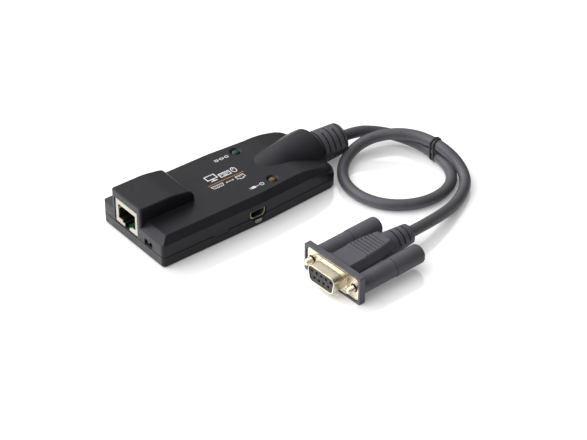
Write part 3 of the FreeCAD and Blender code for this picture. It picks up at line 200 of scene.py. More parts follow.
def blend_colours(tree, factor, first, second):
    node = add(tree, "ShaderNodeMix", data_type="RGBA")
    tree.links.new(factor, node.inputs[MIX_FACTOR])
    for socket, colour in ((node.inputs[MIX_FIRST], first), (node.inputs[MIX_SECOND], second)):
        if isinstance(colour, tuple):
            socket.default_value = (*colour, 1.0)
        else:
            tree.links.new(colour, socket)
    return node.outputs[MIX_RESULT]


def edge_mask(tree, radius):
    """Near 1 along edges: how far the rounded normal leaves the face's own."""
    bevel = add(tree, "ShaderNodeBevel", samples=BEVEL_SAMPLES)
    bevel.inputs["Radius"].default_value = radius
    own = add(tree, "ShaderNodeNewGeometry")
    dot = add(tree, "ShaderNodeVectorMath", operation="DOT_PRODUCT")
    tree.links.new(bevel.outputs["Normal"], dot.inputs[0])
    tree.links.new(own.outputs["Normal"], dot.inputs[1])
    reach = add(tree, "ShaderNodeMapRange")
    reach.inputs["From Min"].default_value = 1.0
    reach.inputs["From Max"].default_value = EDGE_TURN
    tree.links.new(dot.outputs["Value"], reach.inputs["Value"])
    return reach.outputs["Result"], bevel.outputs["Normal"]


def bump(tree, shader, height, distance, strength, normal=None):
    node = add(tree, "ShaderNodeBump")
    node.inputs["Strength"].default_value = strength
    node.inputs["Distance"].default_value = distance
    tree.links.new(height, node.inputs["Height"])
    if normal:
        tree.links.new(normal, node.inputs["Normal"])
    tree.links.new(node.outputs["Normal"], shader.inputs["Normal"])


COOL_GLOSS = (0.96, 0.94, 1.08, 1.0)
MOTTLE_SIZE, MOTTLE_DETAIL, MOTTLE_SHADE = 6 * MM, 4.0, 0.82
RUB_RADIUS, RUB_SIZE, RUB_DETAIL = 0.35 * MM, 1.5 * MM, 3.0
RUB_LEAST, RUB_MOST = 0.1, 0.7
POLISH_SIZE, POLISH_DETAIL = 2.5 * MM, 5.0
POLISH_DOWN, POLISH_UP = 0.05, 0.07
GRAIN_STRENGTH = 0.6


def moulded_plastic(name, colour, worn, roughness, grain, depth, specular=0.5, gloss=None):
    """Moulded plastic: fine spark texture, slight mottling, edges rubbed a little paler."""
    material, tree, shader = new_material(name, roughness, specular=specular)
    if gloss:
        shader.inputs["Specular Tint"].default_value = gloss
    mottle = spread(tree, noise(tree, MOTTLE_SIZE, MOTTLE_DETAIL), 0.0, 1.0)
    edges, rounded = edge_mask(tree, RUB_RADIUS)
    deep = tuple(MOTTLE_SHADE * channel for channel in colour)
    base = blend_colours(tree, mottle, deep, colour)
    rubbed = add(tree, "ShaderNodeMath", operation="MULTIPLY")
    uneven = spread(tree, noise(tree, RUB_SIZE, RUB_DETAIL), RUB_LEAST, RUB_MOST)
    tree.links.new(edges, rubbed.inputs[0])
    tree.links.new(uneven, rubbed.inputs[1])
    tone = blend_colours(tree, rubbed.outputs["Value"], base, worn)
    tree.links.new(tone, shader.inputs["Base Color"])
    polish = noise(tree, POLISH_SIZE, POLISH_DETAIL)
    tree.links.new(spread(tree, polish, roughness - POLISH_DOWN, roughness + POLISH_UP),
                   shader.inputs["Roughness"])
    bump(tree, shader, noise(tree, grain), depth, GRAIN_STRENGTH, rounded)
    return material


PATCH_SIZE, PATCH_DETAIL = 3 * MM, 5.0
STREAK_SIZE, STREAK_DETAIL = 0.25 * MM, 3.0
STREAK_DOWN, STREAK_UP = 0.06, 0.1
STREAK_DEPTH, STREAK_STRENGTH = 0.004 * MM, 0.5
METAL_EDGE = 0.2 * MM


def plated_metal(name, colour, tarnish, roughness, stretch):
    """Plated sheet or turned metal: drawn streaks, and a little dullness in patches."""
    material, tree, shader = new_material(name, roughness, metallic=1.0)
    patches = spread(tree, noise(tree, PATCH_SIZE, PATCH_DETAIL), 0.0, 1.0)
    tree.links.new(blend_colours(tree, patches, colour, tarnish), shader.inputs["Base Color"])
    streaks = noise(tree, STREAK_SIZE, STREAK_DETAIL, stretch)
    tree.links.new(spread(tree, streaks, roughness - STREAK_DOWN, roughness + STREAK_UP),
                   shader.inputs["Roughness"])
    _, rounded = edge_mask(tree, METAL_EDGE)
    bump(tree, shader, streaks, STREAK_DEPTH, STREAK_STRENGTH, rounded)
    return material


BOARD_ROUGHNESS = 0.3
BOARD_GRAIN, BOARD_SMOOTH, BOARD_ROUGH = 1 * MM, 0.22, 0.4
TRACK_PITCH, TRACK_GAP = 6 * MM, 0.03
TRACK_DEPTH, TRACK_STRENGTH = 0.03 * MM, 0.5
MASK_COLOUR, MASK_OTHER = (0.012, 0.085, 0.03, 1.0), (0.01, 0.07, 0.026, 1.0)
TRACK_COLOUR = (0.03, 0.16, 0.05, 1.0)


def board_laminate():
    """Solder mask over a net of copper tracks."""
    material, tree, shader = new_material("board_laminate", BOARD_ROUGHNESS)
    tracks = add(tree, "ShaderNodeTexBrick")
    place = add(tree, "ShaderNodeTexCoord")
    tracks.inputs["Scale"].default_value = 1.0 / TRACK_PITCH
    tracks.inputs["Mortar Size"].default_value = TRACK_GAP
    tracks.inputs["Color1"].default_value = MASK_COLOUR
    tracks.inputs["Color2"].default_value = MASK_OTHER
    tracks.inputs["Mortar"].default_value = TRACK_COLOUR
    tree.links.new(place.outputs["Object"], tracks.inputs["Vector"])
    tree.links.new(tracks.outputs["Color"], shader.inputs["Base Color"])
    tree.links.new(spread(tree, noise(tree, BOARD_GRAIN), BOARD_SMOOTH, BOARD_ROUGH),
                   shader.inputs["Roughness"])
    bump(tree, shader, tracks.outputs["Fac"], TRACK_DEPTH, TRACK_STRENGTH)
    return material


LENS_ROUGHNESS, LENS_SPECULAR = 0.2, 0.25
# Painted highlight within LENS_HEART of the lens axis, fading to painted shade at LENS_RIM
LENS_HEART, LENS_RIM = 0.2 * MM, 1.4 * MM
LENS_GRAIN, LENS_SMOOTH, LENS_ROUGH = 0.5 * MM, 0.16, 0.3
LENS_COAT, LENS_COAT_ROUGHNESS = 0.1, 0.05
IN_PLAN = (1.0, 1.0, 0.0)


def lens(name, middle, deep, painted_highlight):
    """Tinted clear lens over a die: painted shade darkens it towards the rim, a painted highlight makes
    the heart round its axis paler, glossy skin.
    """
    material, tree, shader = new_material(name, LENS_ROUGHNESS, specular=LENS_SPECULAR)
    place = add(tree, "ShaderNodeTexCoord")
    aside = add(tree, "ShaderNodeVectorMath", operation="SUBTRACT")
    aside.inputs[1].default_value = middle
    tree.links.new(place.outputs["Object"], aside.inputs[0])
    level = add(tree, "ShaderNodeVectorMath", operation="MULTIPLY")
    level.inputs[1].default_value = IN_PLAN
    tree.links.new(aside.outputs["Vector"], level.inputs[0])
    reach = add(tree, "ShaderNodeVectorMath", operation="LENGTH")
    tree.links.new(level.outputs["Vector"], reach.inputs[0])
    rim_shade = add(tree, "ShaderNodeMapRange")
    rim_shade.inputs["From Min"].default_value = LENS_HEART
    rim_shade.inputs["From Max"].default_value = LENS_RIM
    tree.links.new(reach.outputs["Value"], rim_shade.inputs["Value"])
    # Painted light: the heart takes the painted highlight colour, the rim the darker painted shade colour
    tone = blend_colours(tree, rim_shade.outputs["Result"], painted_highlight, deep)
    tree.links.new(tone, shader.inputs["Base Color"])
    tree.links.new(spread(tree, noise(tree, LENS_GRAIN), LENS_SMOOTH, LENS_ROUGH),
                   shader.inputs["Roughness"])
    shader.inputs["Coat Weight"].default_value = LENS_COAT
    shader.inputs["Coat Roughness"].default_value = LENS_COAT_ROUGHNESS
    return material


INK_ROUGHNESS, INK_SPECULAR = 0.45, 0.3
INK_PATCH, INK_PATCH_DETAIL = 0.5 * MM, 4.0
INK_GRAIN, INK_SMOOTH, INK_ROUGH = 0.3 * MM, 0.38, 0.55


def ink(name, colour, thin):
    """Pad-printed ink, thin in places."""
    material, tree, shader = new_material(name, INK_ROUGHNESS, specular=INK_SPECULAR)
    patches = spread(tree, noise(tree, INK_PATCH, INK_PATCH_DETAIL), 0.0, 1.0)
    tree.links.new(blend_colours(tree, patches, thin, colour), shader.inputs["Base Color"])
    tree.links.new(spread(tree, noise(tree, INK_GRAIN), INK_SMOOTH, INK_ROUGH),
                   shader.inputs["Roughness"])
    return material


LAMP_X, LAMP_Y = 15.7, 12.8
LAMP_MIDDLES = {
    "online_lamp": Vector((LAMP_X, LAMP_Y, 0.0)) * MM,
    "power_lamp": Vector((LAMP_X, -LAMP_Y, 0.0)) * MM,
}
MATERIALS = {
    "case_plastic": moulded_plastic(
        "case_plastic", (0.014, 0.0133, 0.016), (0.025, 0.024, 0.027), roughness=0.34,
        grain=0.16 * MM, depth=0.006 * MM, specular=0.2, gloss=COOL_GLOSS),
    "overmould": moulded_plastic(
        "overmould", (0.078, 0.075, 0.087), (0.112, 0.109, 0.124), roughness=0.5,
        grain=0.2 * MM, depth=0.012 * MM, specular=0.35, gloss=COOL_GLOSS),
    "lead_jacket": moulded_plastic(
        "lead_jacket", (0.07, 0.069, 0.077), (0.1, 0.098, 0.108), roughness=0.42,
        grain=0.25 * MM, depth=0.01 * MM, specular=0.4, gloss=COOL_GLOSS),
    "black_plastic": moulded_plastic(
        "black_plastic", (0.006, 0.006, 0.0065), (0.02, 0.02, 0.02), roughness=0.5,
        grain=0.15 * MM, depth=0.01 * MM),
    "jack_plastic": moulded_plastic(
        "jack_plastic", (0.49, 0.48, 0.375), (0.6, 0.58, 0.47), roughness=0.4,
        grain=0.2 * MM, depth=0.008 * MM),
    "board_laminate": board_laminate(),
    "contact_metal": plated_metal(
        "contact_metal", (0.87, 0.66, 0.28), (0.7, 0.5, 0.2), roughness=0.24, stretch=(1, 1, 6)),
    "plated_steel": plated_metal(
        "plated_steel", (0.7, 0.64, 0.51), (0.57, 0.5, 0.38), roughness=0.28, stretch=(1, 8, 1)),
    "capacitor_can": plated_metal(
        "capacitor_can", (0.75, 0.75, 0.77), (0.6, 0.6, 0.62), roughness=0.3, stretch=(1, 1, 0.2)),
    # Lens colours: the darker one is painted shade at the rim, the paler one a painted highlight in the
    # heart
    "green_lens": lens(
        "green_lens", LAMP_MIDDLES["online_lamp"], (0.001, 0.006, 0.003), (0.01, 0.06, 0.03)),
    "amber_lens": lens(
        "amber_lens", LAMP_MIDDLES["power_lamp"], (0.03, 0.009, 0.002), (0.2, 0.092, 0.018)),
    "white_ink": ink("white_ink", (0.75, 0.75, 0.74), (0.5, 0.5, 0.5)),
    "orange_ink": ink("orange_ink", (0.4, 0.18, 0.045), (0.26, 0.11, 0.03)),
}


def dress_nodes():
    """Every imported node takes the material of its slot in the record."""
    for row in frame["record"]["subparts"]:
        mesh = NODES[row["node"]].data
        mesh.materials.clear()
        mesh.materials.append(MATERIALS[row["material_slot"]])


# Lead: the route's own points, in millimetres, as the control points of one smooth spline

LEAD_RADIUS = 2.5 * MM
LEAD_ROUNDNESS, LEAD_SMOOTHNESS = 10, 16
LEAD_ROUTE = [
    (60.8, 0.0, 7.8), (70.8, 0.0, 7.8), (80.8, -3.6, 5.5), (88.0, -10.5, 3.5), (90.8, -20.0, 3.3),
    (91.2, -31.0, 3.3), (89.3, -42.0, 2.8), (83.0, -50.5, 2.6), (72.5, -54.5, 2.6), (60.5, -53.0, 2.6),
    (50.5, -46.0, 2.6), (45.5, -35.0, 2.6), (46.5, -23.0, 2.6), (53.0, -12.9, 2.7), (62.5, -7.0, 4.0),
    (72.5, -7.4, 7.2), (82.0, -13.0, 8.9), (88.1, -19.8, 9.0), (90.7, -27.6, 8.8), (91.5, -36.0, 8.5),
    (92.2, -44.0, 5.5), (89.0, -52.6, 3.0), (81.6, -58.9, 2.6), (71.5, -63.8, 2.8), (61.7, -67.3, 4.75),
    (51.842, -69.822, 6.4), (41.853, -70.293, 6.4),
]


def make_lead():
    data = bpy.data.curves.new("lead", "CURVE")
    data.dimensions = "3D"
    data.bevel_depth = LEAD_RADIUS
    data.bevel_resolution = LEAD_ROUNDNESS
    data.resolution_u = LEAD_SMOOTHNESS
    spline = data.splines.new("NURBS")
    spline.points.add(len(LEAD_ROUTE) - 1)
    for point, place in zip(spline.points, LEAD_ROUTE):
        point.co = (*(MM * value for value in place), 1.0)
    spline.order_u = 3
    spline.use_endpoint_u = True
    data.materials.append(MATERIALS["lead_jacket"])
    lead = bpy.data.objects.new("lead", data)
    bpy.context.scene.collection.objects.link(lead)
    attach(lead, "adapter")
    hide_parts("signal_lead")


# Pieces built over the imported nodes

def new_piece(name, mesh, material, slot, body, *replaced):
    """Link a finished mesh with its material, and let it ride a body."""
    mesh.materials.append(MATERIALS[material])
    piece = bpy.data.objects.new(name, mesh)
    bpy.context.scene.collection.objects.link(piece)
    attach(piece, body)
    if replaced:
        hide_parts(*replaced)
    return piece


def grid_mesh(name, rows, closed_rows=False, smooth=True):
    """Quads between rings of points. The last ring may meet the first, or both ends are capped."""
    mesh = bpy.data.meshes.new(name)
    count = len(rows[0])
    points = [point for row in rows for point in row]
    faces = []
    for index in range(len(rows) if closed_rows else len(rows) - 1):
        after = (index + 1) % len(rows)
        for step in range(count):
            beside = (step + 1) % count
            faces.append((index * count + step, index * count + beside, after * count + beside,
                          after * count + step))
    if not closed_rows:
        faces.append(tuple(range(count - 1, -1, -1)))
        faces.append(tuple(range((len(rows) - 1) * count, len(rows) * count)))
    mesh.from_pydata(points, [], faces)
    mesh.polygons.foreach_set("use_smooth", [smooth] * len(mesh.polygons))
    mesh.update()
    return mesh


def turn_outward(mesh):
    shape = bmesh.new()
    shape.from_mesh(mesh)
    bmesh.ops.recalc_face_normals(shape, faces=shape.faces)
    shape.to_mesh(mesh)
    shape.free()


# Printed marks on the roof, in millimetres

ROOF_TOP = 13.3
INK_THICK = 0.02
BOLD, MEDIUM, NARROW, FINE, THIN = 0.5, 0.4, 0.35, 0.3, 0.22
KEY_PITCH, KEY_RISE, KEY_WIDTH, KEY_HEIGHT = 0.74, 0.6, 0.45, 0.4
PIN_PITCH, PIN_RADIUS = 0.9, 0.2
WAY_PITCH, WAY_WIDTH = 0.52, 0.2
NET_SQUARE = 1.2


class Print:
    """Flat marks gathered into one mesh, half sunk in the surface that they are printed on."""

    def __init__(self, to_space):
        self.shape = bmesh.new()
        self.to_space = to_space

    def corner(self, x, y):
        return [self.shape.verts.new(self.to_space(x, y, lift)) for lift in (-INK_THICK, INK_THICK)]

    def wall(self, first, second):
        self.shape.faces.new((first[0], second[0], second[1], first[1]))

    def patch(self, points):
        corners = [self.corner(x, y) for x, y in points]
        self.shape.faces.new([corner[1] for corner in corners])
        self.shape.faces.new([corner[0] for corner in reversed(corners)])
        for index, corner in enumerate(corners):
            self.wall(corner, corners[(index + 1) % len(corners)])

    def bar(self, x0, y0, x1, y1):
        self.patch([(x0, y0), (x1, y0), (x1, y1), (x0, y1)])

    def stroke(self, points, width, closed=False):
        """A line of even width through points, with mitred corners."""
        count = len(points)
        steps = []
        for (x0, y0), (x1, y1) in zip(points, points[1:] + points[:1]):
            steps.append(Vector((x1 - x0, y1 - y0)).normalized())
        left, right = [], []
        for index, (x, y) in enumerate(points):
            before = steps[index - 1] if closed or index > 0 else steps[index]
            after = steps[index] if closed or index < count - 1 else steps[index - 1]
            along = (before + after).normalized()
            reach = width / 2 / along.dot(before)
            left.append(self.corner(x - along.y * reach, y + along.x * reach))
            right.append(self.corner(x + along.y * reach, y - along.x * reach))
        for index in range(count if closed else count - 1):
            after = (index + 1) % count
            self.shape.faces.new((right[index][1], right[after][1], left[after][1], left[index][1]))
            self.shape.faces.new((left[index][0], left[after][0], right[after][0], right[index][0]))
            self.wall(right[index], right[after])
            self.wall(left[after], left[index])
        if not closed:
            self.wall(left[0], right[0])
            self.wall(right[-1], left[-1])

    def dot(self, x, y, radius, sides=12):
        self.patch(oval(x, y, radius, radius, steps=sides)[:-1])

    def finish(self, name, material):
        mesh = bpy.data.meshes.new(name)
        bmesh.ops.recalc_face_normals(self.shape, faces=self.shape.faces)
        self.shape.to_mesh(mesh)
        self.shape.free()
        return new_piece(name, mesh, material, "case_plastic", "adapter")


def on_roof(x, y, lift):
    return MM * x, MM * y, MM * (ROOF_TOP + lift)


FRONT_WALL = -21.35


def on_front(x, z, lift):
    return MM * x, MM * (FRONT_WALL - lift), MM * z


def oval(x, y, half_width, half_height, first=0.0, last=360.0, steps=24):
    points = []
    for index in range(steps + 1):
        turn = math.radians(first + (last - first) * index / steps)
        points.append((x + half_width * math.cos(turn), y + half_height * math.sin(turn)))
    return points


def draw_screen(marks):
    marks.stroke([(-6.7, 2.1), (-1.9, 2.1), (-1.9, 5.0), (-6.7, 5.0)], BOLD, True)
    marks.bar(-4.7, 1.1, -3.9, 1.9)
    marks.bar(-5.9, 0.5, -2.7, 1.0)


def draw_keyboard(marks):
    marks.stroke([(-0.6, 0.8), (4.6, 0.8), (4.6, 3.4), (-0.6, 3.4)], MEDIUM, True)
    for row in range(2):
        for key in range(6):
            left = -0.15 + KEY_PITCH * key
            low = 2.0 + KEY_RISE * row
            marks.bar(left, low, left + KEY_WIDTH, low + KEY_HEIGHT)
    marks.bar(0.9, 1.25, 3.1, 1.7)


def draw_mouse(marks):
    marks.stroke(oval(6.8, 2.3, 1.1, 1.7)[:-1], MEDIUM, True)
    marks.stroke([(6.8, 2.5), (6.8, 3.4)], NARROW)


def draw_sockets(marks):
    """A D connector and a network jack with an arrow between them."""
    marks.stroke([(-8.6, -2.5), (-2.6, -2.5), (-3.3, -4.3), (-7.9, -4.3)], FINE, True)
    for pin in range(5):
        marks.dot(-7.4 + PIN_PITCH * pin, -3.05, PIN_RADIUS)
    for pin in range(4):
        marks.dot(-6.95 + PIN_PITCH * pin, -3.75, PIN_RADIUS)
    marks.stroke([(-0.8, -3.4), (2.0, -3.4)], FINE)
    marks.patch([(-1.4, -3.4), (-0.8, -4.0), (-0.8, -2.8)])
    marks.patch([(2.6, -3.4), (2.0, -2.8), (2.0, -4.0)])
    marks.stroke([(4.0, -2.4), (8.0, -2.4), (8.0, -4.4), (6.8, -4.4),
                  (6.8, -5.0), (5.2, -5.0), (5.2, -4.4), (4.0, -4.4)], FINE, True)
    for way in range(6):
        left = 4.5 + WAY_PITCH * way
        marks.bar(left, -3.3, left + WAY_WIDTH, -2.75)


def draw_lamp_marks(marks):
    """A chain of three squares beside one lamp, a switch sign and a plug beside the other."""
    low, high = 11.4, 11.4 + NET_SQUARE
    for left in (4.4, 7.1, 9.8):
        right = left + NET_SQUARE
        marks.stroke([(left, low), (right, low), (right, high), (left, high)], FINE, True)
    marks.bar(5.75, 11.85, 6.95, 12.15)
    marks.bar(8.45, 11.85, 9.65, 12.15)
    marks.stroke(oval(9.8, -13.2, 0.85, 0.85, 125.0, 415.0, 20), FINE)
    marks.stroke([(9.8, -13.1), (9.8, -12.0)], FINE)
    marks.bar(6.5, -13.35, 8.5, -13.05)
    marks.patch([(4.6, -13.9), (6.5, -13.9), (6.5, -12.5), (4.6, -12.5)])
    marks.bar(3.5, -13.65, 4.6, -13.4)
    marks.bar(3.5, -13.0, 4.6, -12.75)


def make_print():
    """Plain pictograms over and under a coloured rule, beside the lamps and under the port."""
    rule = Print(on_roof)
    rule.bar(-9.2, -1.42, 9.2, -1.0)
    rule.finish("printed_rule", "orange_ink")
    marks = Print(on_roof)
    draw_screen(marks)
    draw_keyboard(marks)
    draw_mouse(marks)
    draw_sockets(marks)
    draw_lamp_marks(marks)
    marks.finish("printed_marks", "white_ink")
    port = Print(on_front)
    port.stroke([(0.7, 2.1), (2.7, 2.1), (3.2, 2.6), (3.2, 3.2), (0.2, 3.2), (0.2, 2.6)], THIN, True)
    port.bar(0.9, 2.75, 2.5, 2.95)
    port.finish("printed_port_mark", "white_ink")


# Dark lining inside the jack, thin sheets behind its mouth: partly a black contact carrier, partly a dark
# sheet painting the shade deep in the jack

JACK_MIDDLE = 4.6
LINING = 0.05


def make_jack_shade_lining():
    shape = bmesh.new()
    front, back = -45.85, -33.6
    step_end = -43.4
    step_low, step_high = 11.9, 13.0
    left, right = JACK_MIDDLE + 6.0, JACK_MIDDLE - 6.0
    low, high = 7.5, 14.5
    latch, slot = 3.2, 1.7
    latch_low, sole = 6.6, 5.32
    # Each box is a 0.05 mm dark sheet on a wall of the jack's way, partly carrier and partly painted
    # shade
    for x0, y0, z0, x1, y1, z1 in (
        (front, left - LINING, low, back, left, step_low),
        (front, left - LINING, step_high, back, left, high),
        (step_end, left - LINING, step_low, back, left, step_high),
        (front, right, low, back, right + LINING, high),
        (front, right, high - LINING, back, left, high),
        (back - LINING, right, low, back, left, high),
        (front, right, low, back, JACK_MIDDLE - latch, low + LINING),
        (front, JACK_MIDDLE + latch, low, back, left, low + LINING),
        (front, JACK_MIDDLE + latch - LINING, latch_low, back, JACK_MIDDLE + latch, low),
        (front, JACK_MIDDLE - latch, latch_low, back, JACK_MIDDLE - latch + LINING, low),
        (front, JACK_MIDDLE + slot, latch_low, back, JACK_MIDDLE + latch, latch_low + LINING),
        (front, JACK_MIDDLE - latch, latch_low, back, JACK_MIDDLE - slot, latch_low + LINING),
        (front, JACK_MIDDLE + slot - LINING, sole, back, JACK_MIDDLE + slot, latch_low),
        (front, JACK_MIDDLE - slot, sole, back, JACK_MIDDLE - slot + LINING, latch_low),
    ):
        middle = Vector(((x0 + x1) / 2, (y0 + y1) / 2, (z0 + z1) / 2)) * MM
        size = Vector((x1 - x0, y1 - y0, z1 - z0)) * MM
        bmesh.ops.create_cube(shape, size=1.0,
                              matrix=Matrix.Translation(middle) @ Matrix.Diagonal((*size, 1.0)))
    mesh = bpy.data.meshes.new("jack_shade_lining")
    shape.to_mesh(mesh)
    shape.free()
    new_piece("jack_shade_lining", mesh, "black_plastic", "black_plastic", "adapter")


# Lamp lenses: a flange on the board side, a barrel in the roof's hole and a dome just under the roof

LENS_RADIUS = 1.55
LENS_FLANGE = 1.9
LENS_FLANGE_THICK = 0.9
LENS_HEAD = 1.85
LENS_NECK, LENS_SHOULDER, LENS_TOP = 12.2, 12.5, 13.3
LENS_STEPS = 9
LENS_SIDES = 32


def make_lens(node, slot):
    middle = LAMP_MIDDLES[node]
    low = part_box(node)[0][2] / MM
    flange = low + LENS_FLANGE_THICK
    profile = [(LENS_FLANGE, low), (LENS_FLANGE, flange), (LENS_RADIUS, flange), (LENS_RADIUS, LENS_NECK)]
    for step in range(LENS_STEPS):
        turn = math.radians(90 * step / LENS_STEPS)
        rise = (LENS_TOP - LENS_SHOULDER) * math.sin(turn)
        profile.append((LENS_HEAD * math.cos(turn), LENS_SHOULDER + rise))
    rows = []
    for radius, height in profile:
        row = []
        for index in range(LENS_SIDES):
            turn = 2 * math.pi * index / LENS_SIDES
            row.append((middle.x + MM * radius * math.cos(turn), middle.y + MM * radius * math.sin(turn),
                        MM * height))
        rows.append(row)
    new_piece(node + "_lens", grid_mesh(node + "_lens", rows), slot, slot, "adapter", node)


# Tail of the housing: the roof falls towards the tail and meets the walls in a softly rolled edge

TAIL_START, TAIL_END = 26.0, 46.5
TAPER_START, TAPER_INSET = 5.5, 2.4
HALF_WIDTH = 21.35
WALL_CORNER = 5.5
WALL_TOP = 10.8
FALL_START, FALL_SLOPE, FALL_EASE = 27.0, 0.324, 11.2
EDGE_START, EDGE_FALL, EDGE_SLOPE = 28.0, 0.0134, 2.5 / 3.1
ROLL_START, ROLL_END, ROLL_SHARE = 33.0, 45.0, 0.85
SUNK = 0.03
SKIRT = 3.0
COVER_THICK = 0.6
FAN_X, FAN_Y = 40.0, 5.0
SIDE_STEPS, CORNER_STEPS, TAIL_STEPS = 24, 14, 10
EDGE_STEPS, INNER_STEPS = 8, 12
CORNER_X = TAIL_END - WALL_CORNER
TAIL_SHARP = math.radians(30)


def wall_half(x):
    """Half-width of the walls, which draw in towards the tail."""
    return HALF_WIDTH - TAPER_INSET * max(0.0, x - TAPER_START) / (TAIL_END - TAPER_START)


CORNER_Y = wall_half(TAIL_END) - WALL_CORNER


def inset(x, y):
    """How far a place in plan lies inside the walls."""
    if x > CORNER_X and abs(y) > CORNER_Y:
        return WALL_CORNER - math.hypot(x - CORNER_X, abs(y) - CORNER_Y)
    return min(wall_half(x) - abs(y), TAIL_END - x)


def roof_fall(x):
    """Height of the roof along the housing."""
    past = max(0.0, x - FALL_START)
    return ROOF_TOP - FALL_SLOPE * past * past / (past + FALL_EASE)


def wall_edge(x):
    """Height of the walls' upper edge."""
    return WALL_TOP - EDGE_FALL * max(0.0, x - EDGE_START) ** 2


def edge_depth(x):
    """How far inside the walls the roof begins."""
    return (roof_fall(x) - wall_edge(x)) / EDGE_SLOPE


def cover_height(x, y):
    """Height of the housing's upper surface at a place in plan."""
    share = min(1.0, max(0.0, inset(x, y) / edge_depth(x)))
    along = min(1.0, max(0.0, (x - ROLL_START) / (ROLL_END - ROLL_START)))
    rolled = math.sqrt(1.0 - (1.0 - share) ** 2)
    edge = wall_edge(x)
    return edge + (roof_fall(x) - edge) * (share + (rolled - share) * ROLL_SHARE * along)


def tail_plan():
    """Pairs of places, on the wall and far inside it, from the side round to the tail's middle."""
    pairs = []
    for step in range(SIDE_STEPS):
        x = TAIL_START + (CORNER_X - TAIL_START) * step / SIDE_STEPS
        pairs.append((Vector((x, wall_half(x))), Vector((min(x, FAN_X), FAN_Y))))
    for step in range(CORNER_STEPS + 1):
        turn = math.radians(90 * step / CORNER_STEPS)
        place = Vector((CORNER_X + WALL_CORNER * math.sin(turn), CORNER_Y + WALL_CORNER * math.cos(turn)))
        pairs.append((place, Vector((FAN_X, FAN_Y))))
    for step in range(1, TAIL_STEPS + 1):
        share = 1.0 - step / TAIL_STEPS
        pairs.append((Vector((TAIL_END, CORNER_Y * share)), Vector((FAN_X, FAN_Y * share))))
    return pairs


def tail_section(wall, inner, side):
    """One section of the cover: over the wall's edge, in along the roof, and back to a skirt."""
    inward = (inner - wall).normalized()
    outer = wall + inward * 2 * SUNK
    bend = outer + inward * edge_depth(wall.x)
    places = [outer.lerp(bend, step / EDGE_STEPS) for step in range(EDGE_STEPS)]
    places += [bend.lerp(inner, step / INNER_STEPS) for step in range(INNER_STEPS + 1)]
    sunk = SUNK if wall.x < FALL_START else 0.0
    upper = [(place, cover_height(place.x, place.y) - sunk) for place in places]
    lower = [(place, height - COVER_THICK) for place, height in reversed(upper[EDGE_STEPS:])]
    skirt = [(outer + inward * COVER_THICK, upper[0][1] - SKIRT), (outer, upper[0][1] - SKIRT)]
    return [(MM * place.x, MM * side * place.y, MM * height) for place, height in upper + lower + skirt]


def make_tail_cover():
    pairs = tail_plan()
    rows = [tail_section(wall, inner, -1) for wall, inner in pairs]
    rows += [tail_section(wall, inner, 1) for wall, inner in reversed(pairs[:-1])]
    mesh = grid_mesh("tail_cover", rows)
    turn_outward(mesh)
    mesh.set_sharp_from_angle(angle=TAIL_SHARP)
    new_piece("tail_cover", mesh, "case_plastic", "case_plastic", "adapter")


# Swelling over the lead: a barrel that rises out of the roof as a ramp

SWELL_NOSE, SWELL_SHOULDER, SWELL_BEND, SWELL_CREST = 17.0, 20.0, 32.0, 42.0
SWELL_RISE = 4.1
SWELL_NOSE_RADIUS, SWELL_RADIUS = 14.0, 9.8
SWELL_SPREAD_START, SWELL_SPREAD = 30.0, 1.2
SWELL_TAIL, SWELL_ROLL = 45.7, 0.7
SWELL_DEPTH = 0.8
SWELL_LOW = 7.0
SWELL_LOW_START = 26.0
SWELL_LEAST = 0.02
SWELL_CROWDING = 1.3
SWELL_ROWS, SWELL_STEPS, SWELL_ROLL_STEPS = 44, 32, 4
SWELL_SHARP = math.radians(40)


def swell_section(x, shrink=0.0):
    """One section: an arc of the barrel, closed under the roof."""
    ramp = min(1.0, (x - SWELL_NOSE) / (SWELL_CREST - SWELL_NOSE))
    rise = max(SWELL_LEAST, SWELL_RISE * math.sin(math.radians(90 * ramp)))
    bend = min(1.0, max(0.0, (x - SWELL_SHOULDER) / (SWELL_BEND - SWELL_SHOULDER)))
    radius = SWELL_NOSE_RADIUS + (SWELL_RADIUS - SWELL_NOSE_RADIUS) * bend
    middle = ROOF_TOP + rise - radius
    past = min(1.0, max(0.0, (x - SWELL_LOW_START) / (SWELL_CREST - SWELL_LOW_START)))
    low = ROOF_TOP - SWELL_DEPTH + (SWELL_LOW - ROOF_TOP + SWELL_DEPTH) * past
    reach = math.acos(max(-1.0, min(1.0, (low - middle) / radius)))
    spread_share = min(1.0, max(0.0, (x - SWELL_SPREAD_START) / (SWELL_CREST - SWELL_SPREAD_START)))
    widen = 1.0 + (SWELL_SPREAD - 1.0) * spread_share
    points = []
    for step in range(SWELL_STEPS + 1):
        turn = reach * (2.0 * step / SWELL_STEPS - 1.0)
        points.append((MM * x, MM * widen * (radius - shrink) * math.sin(turn),
                       MM * (middle + (radius - shrink) * math.cos(turn))))
    return points


def make_swelling():
    rows = []
    for row in range(SWELL_ROWS + 1):
        share = (row / SWELL_ROWS) ** SWELL_CROWDING
        rows.append(swell_section(SWELL_NOSE + (SWELL_TAIL - SWELL_NOSE) * share))
    for step in range(1, SWELL_ROLL_STEPS + 1):
        turn = math.radians(90 * step / SWELL_ROLL_STEPS)
        rows.append(swell_section(SWELL_TAIL + SWELL_ROLL * math.sin(turn),
                                  SWELL_ROLL * (1.0 - math.cos(turn))))
    mesh = grid_mesh("lead_swelling", rows)
    turn_outward(mesh)
    mesh.set_sharp_from_angle(angle=SWELL_SHARP)
    new_piece("lead_swelling", mesh, "case_plastic", "case_plastic", "adapter")


# Upper shell with its roof carried flat under the swelling and kept under the tail's cover

BARREL_START, BARREL_HALF = 15.0, 11.0
ROOF_THICK = 1.0
COVER_GAP = 0.12
FREE_HEIGHT = 2 * ROOF_TOP
STEEP_FACE = 0.1


def roof_limit(x, y):
    """Greatest height left to the shell at a place in plan."""
    if x > FALL_START + SUNK:
        return cover_height(x, y) - COVER_GAP
    if x > BARREL_START and abs(y) < BARREL_HALF:
        return ROOF_TOP
    return FREE_HEIGHT


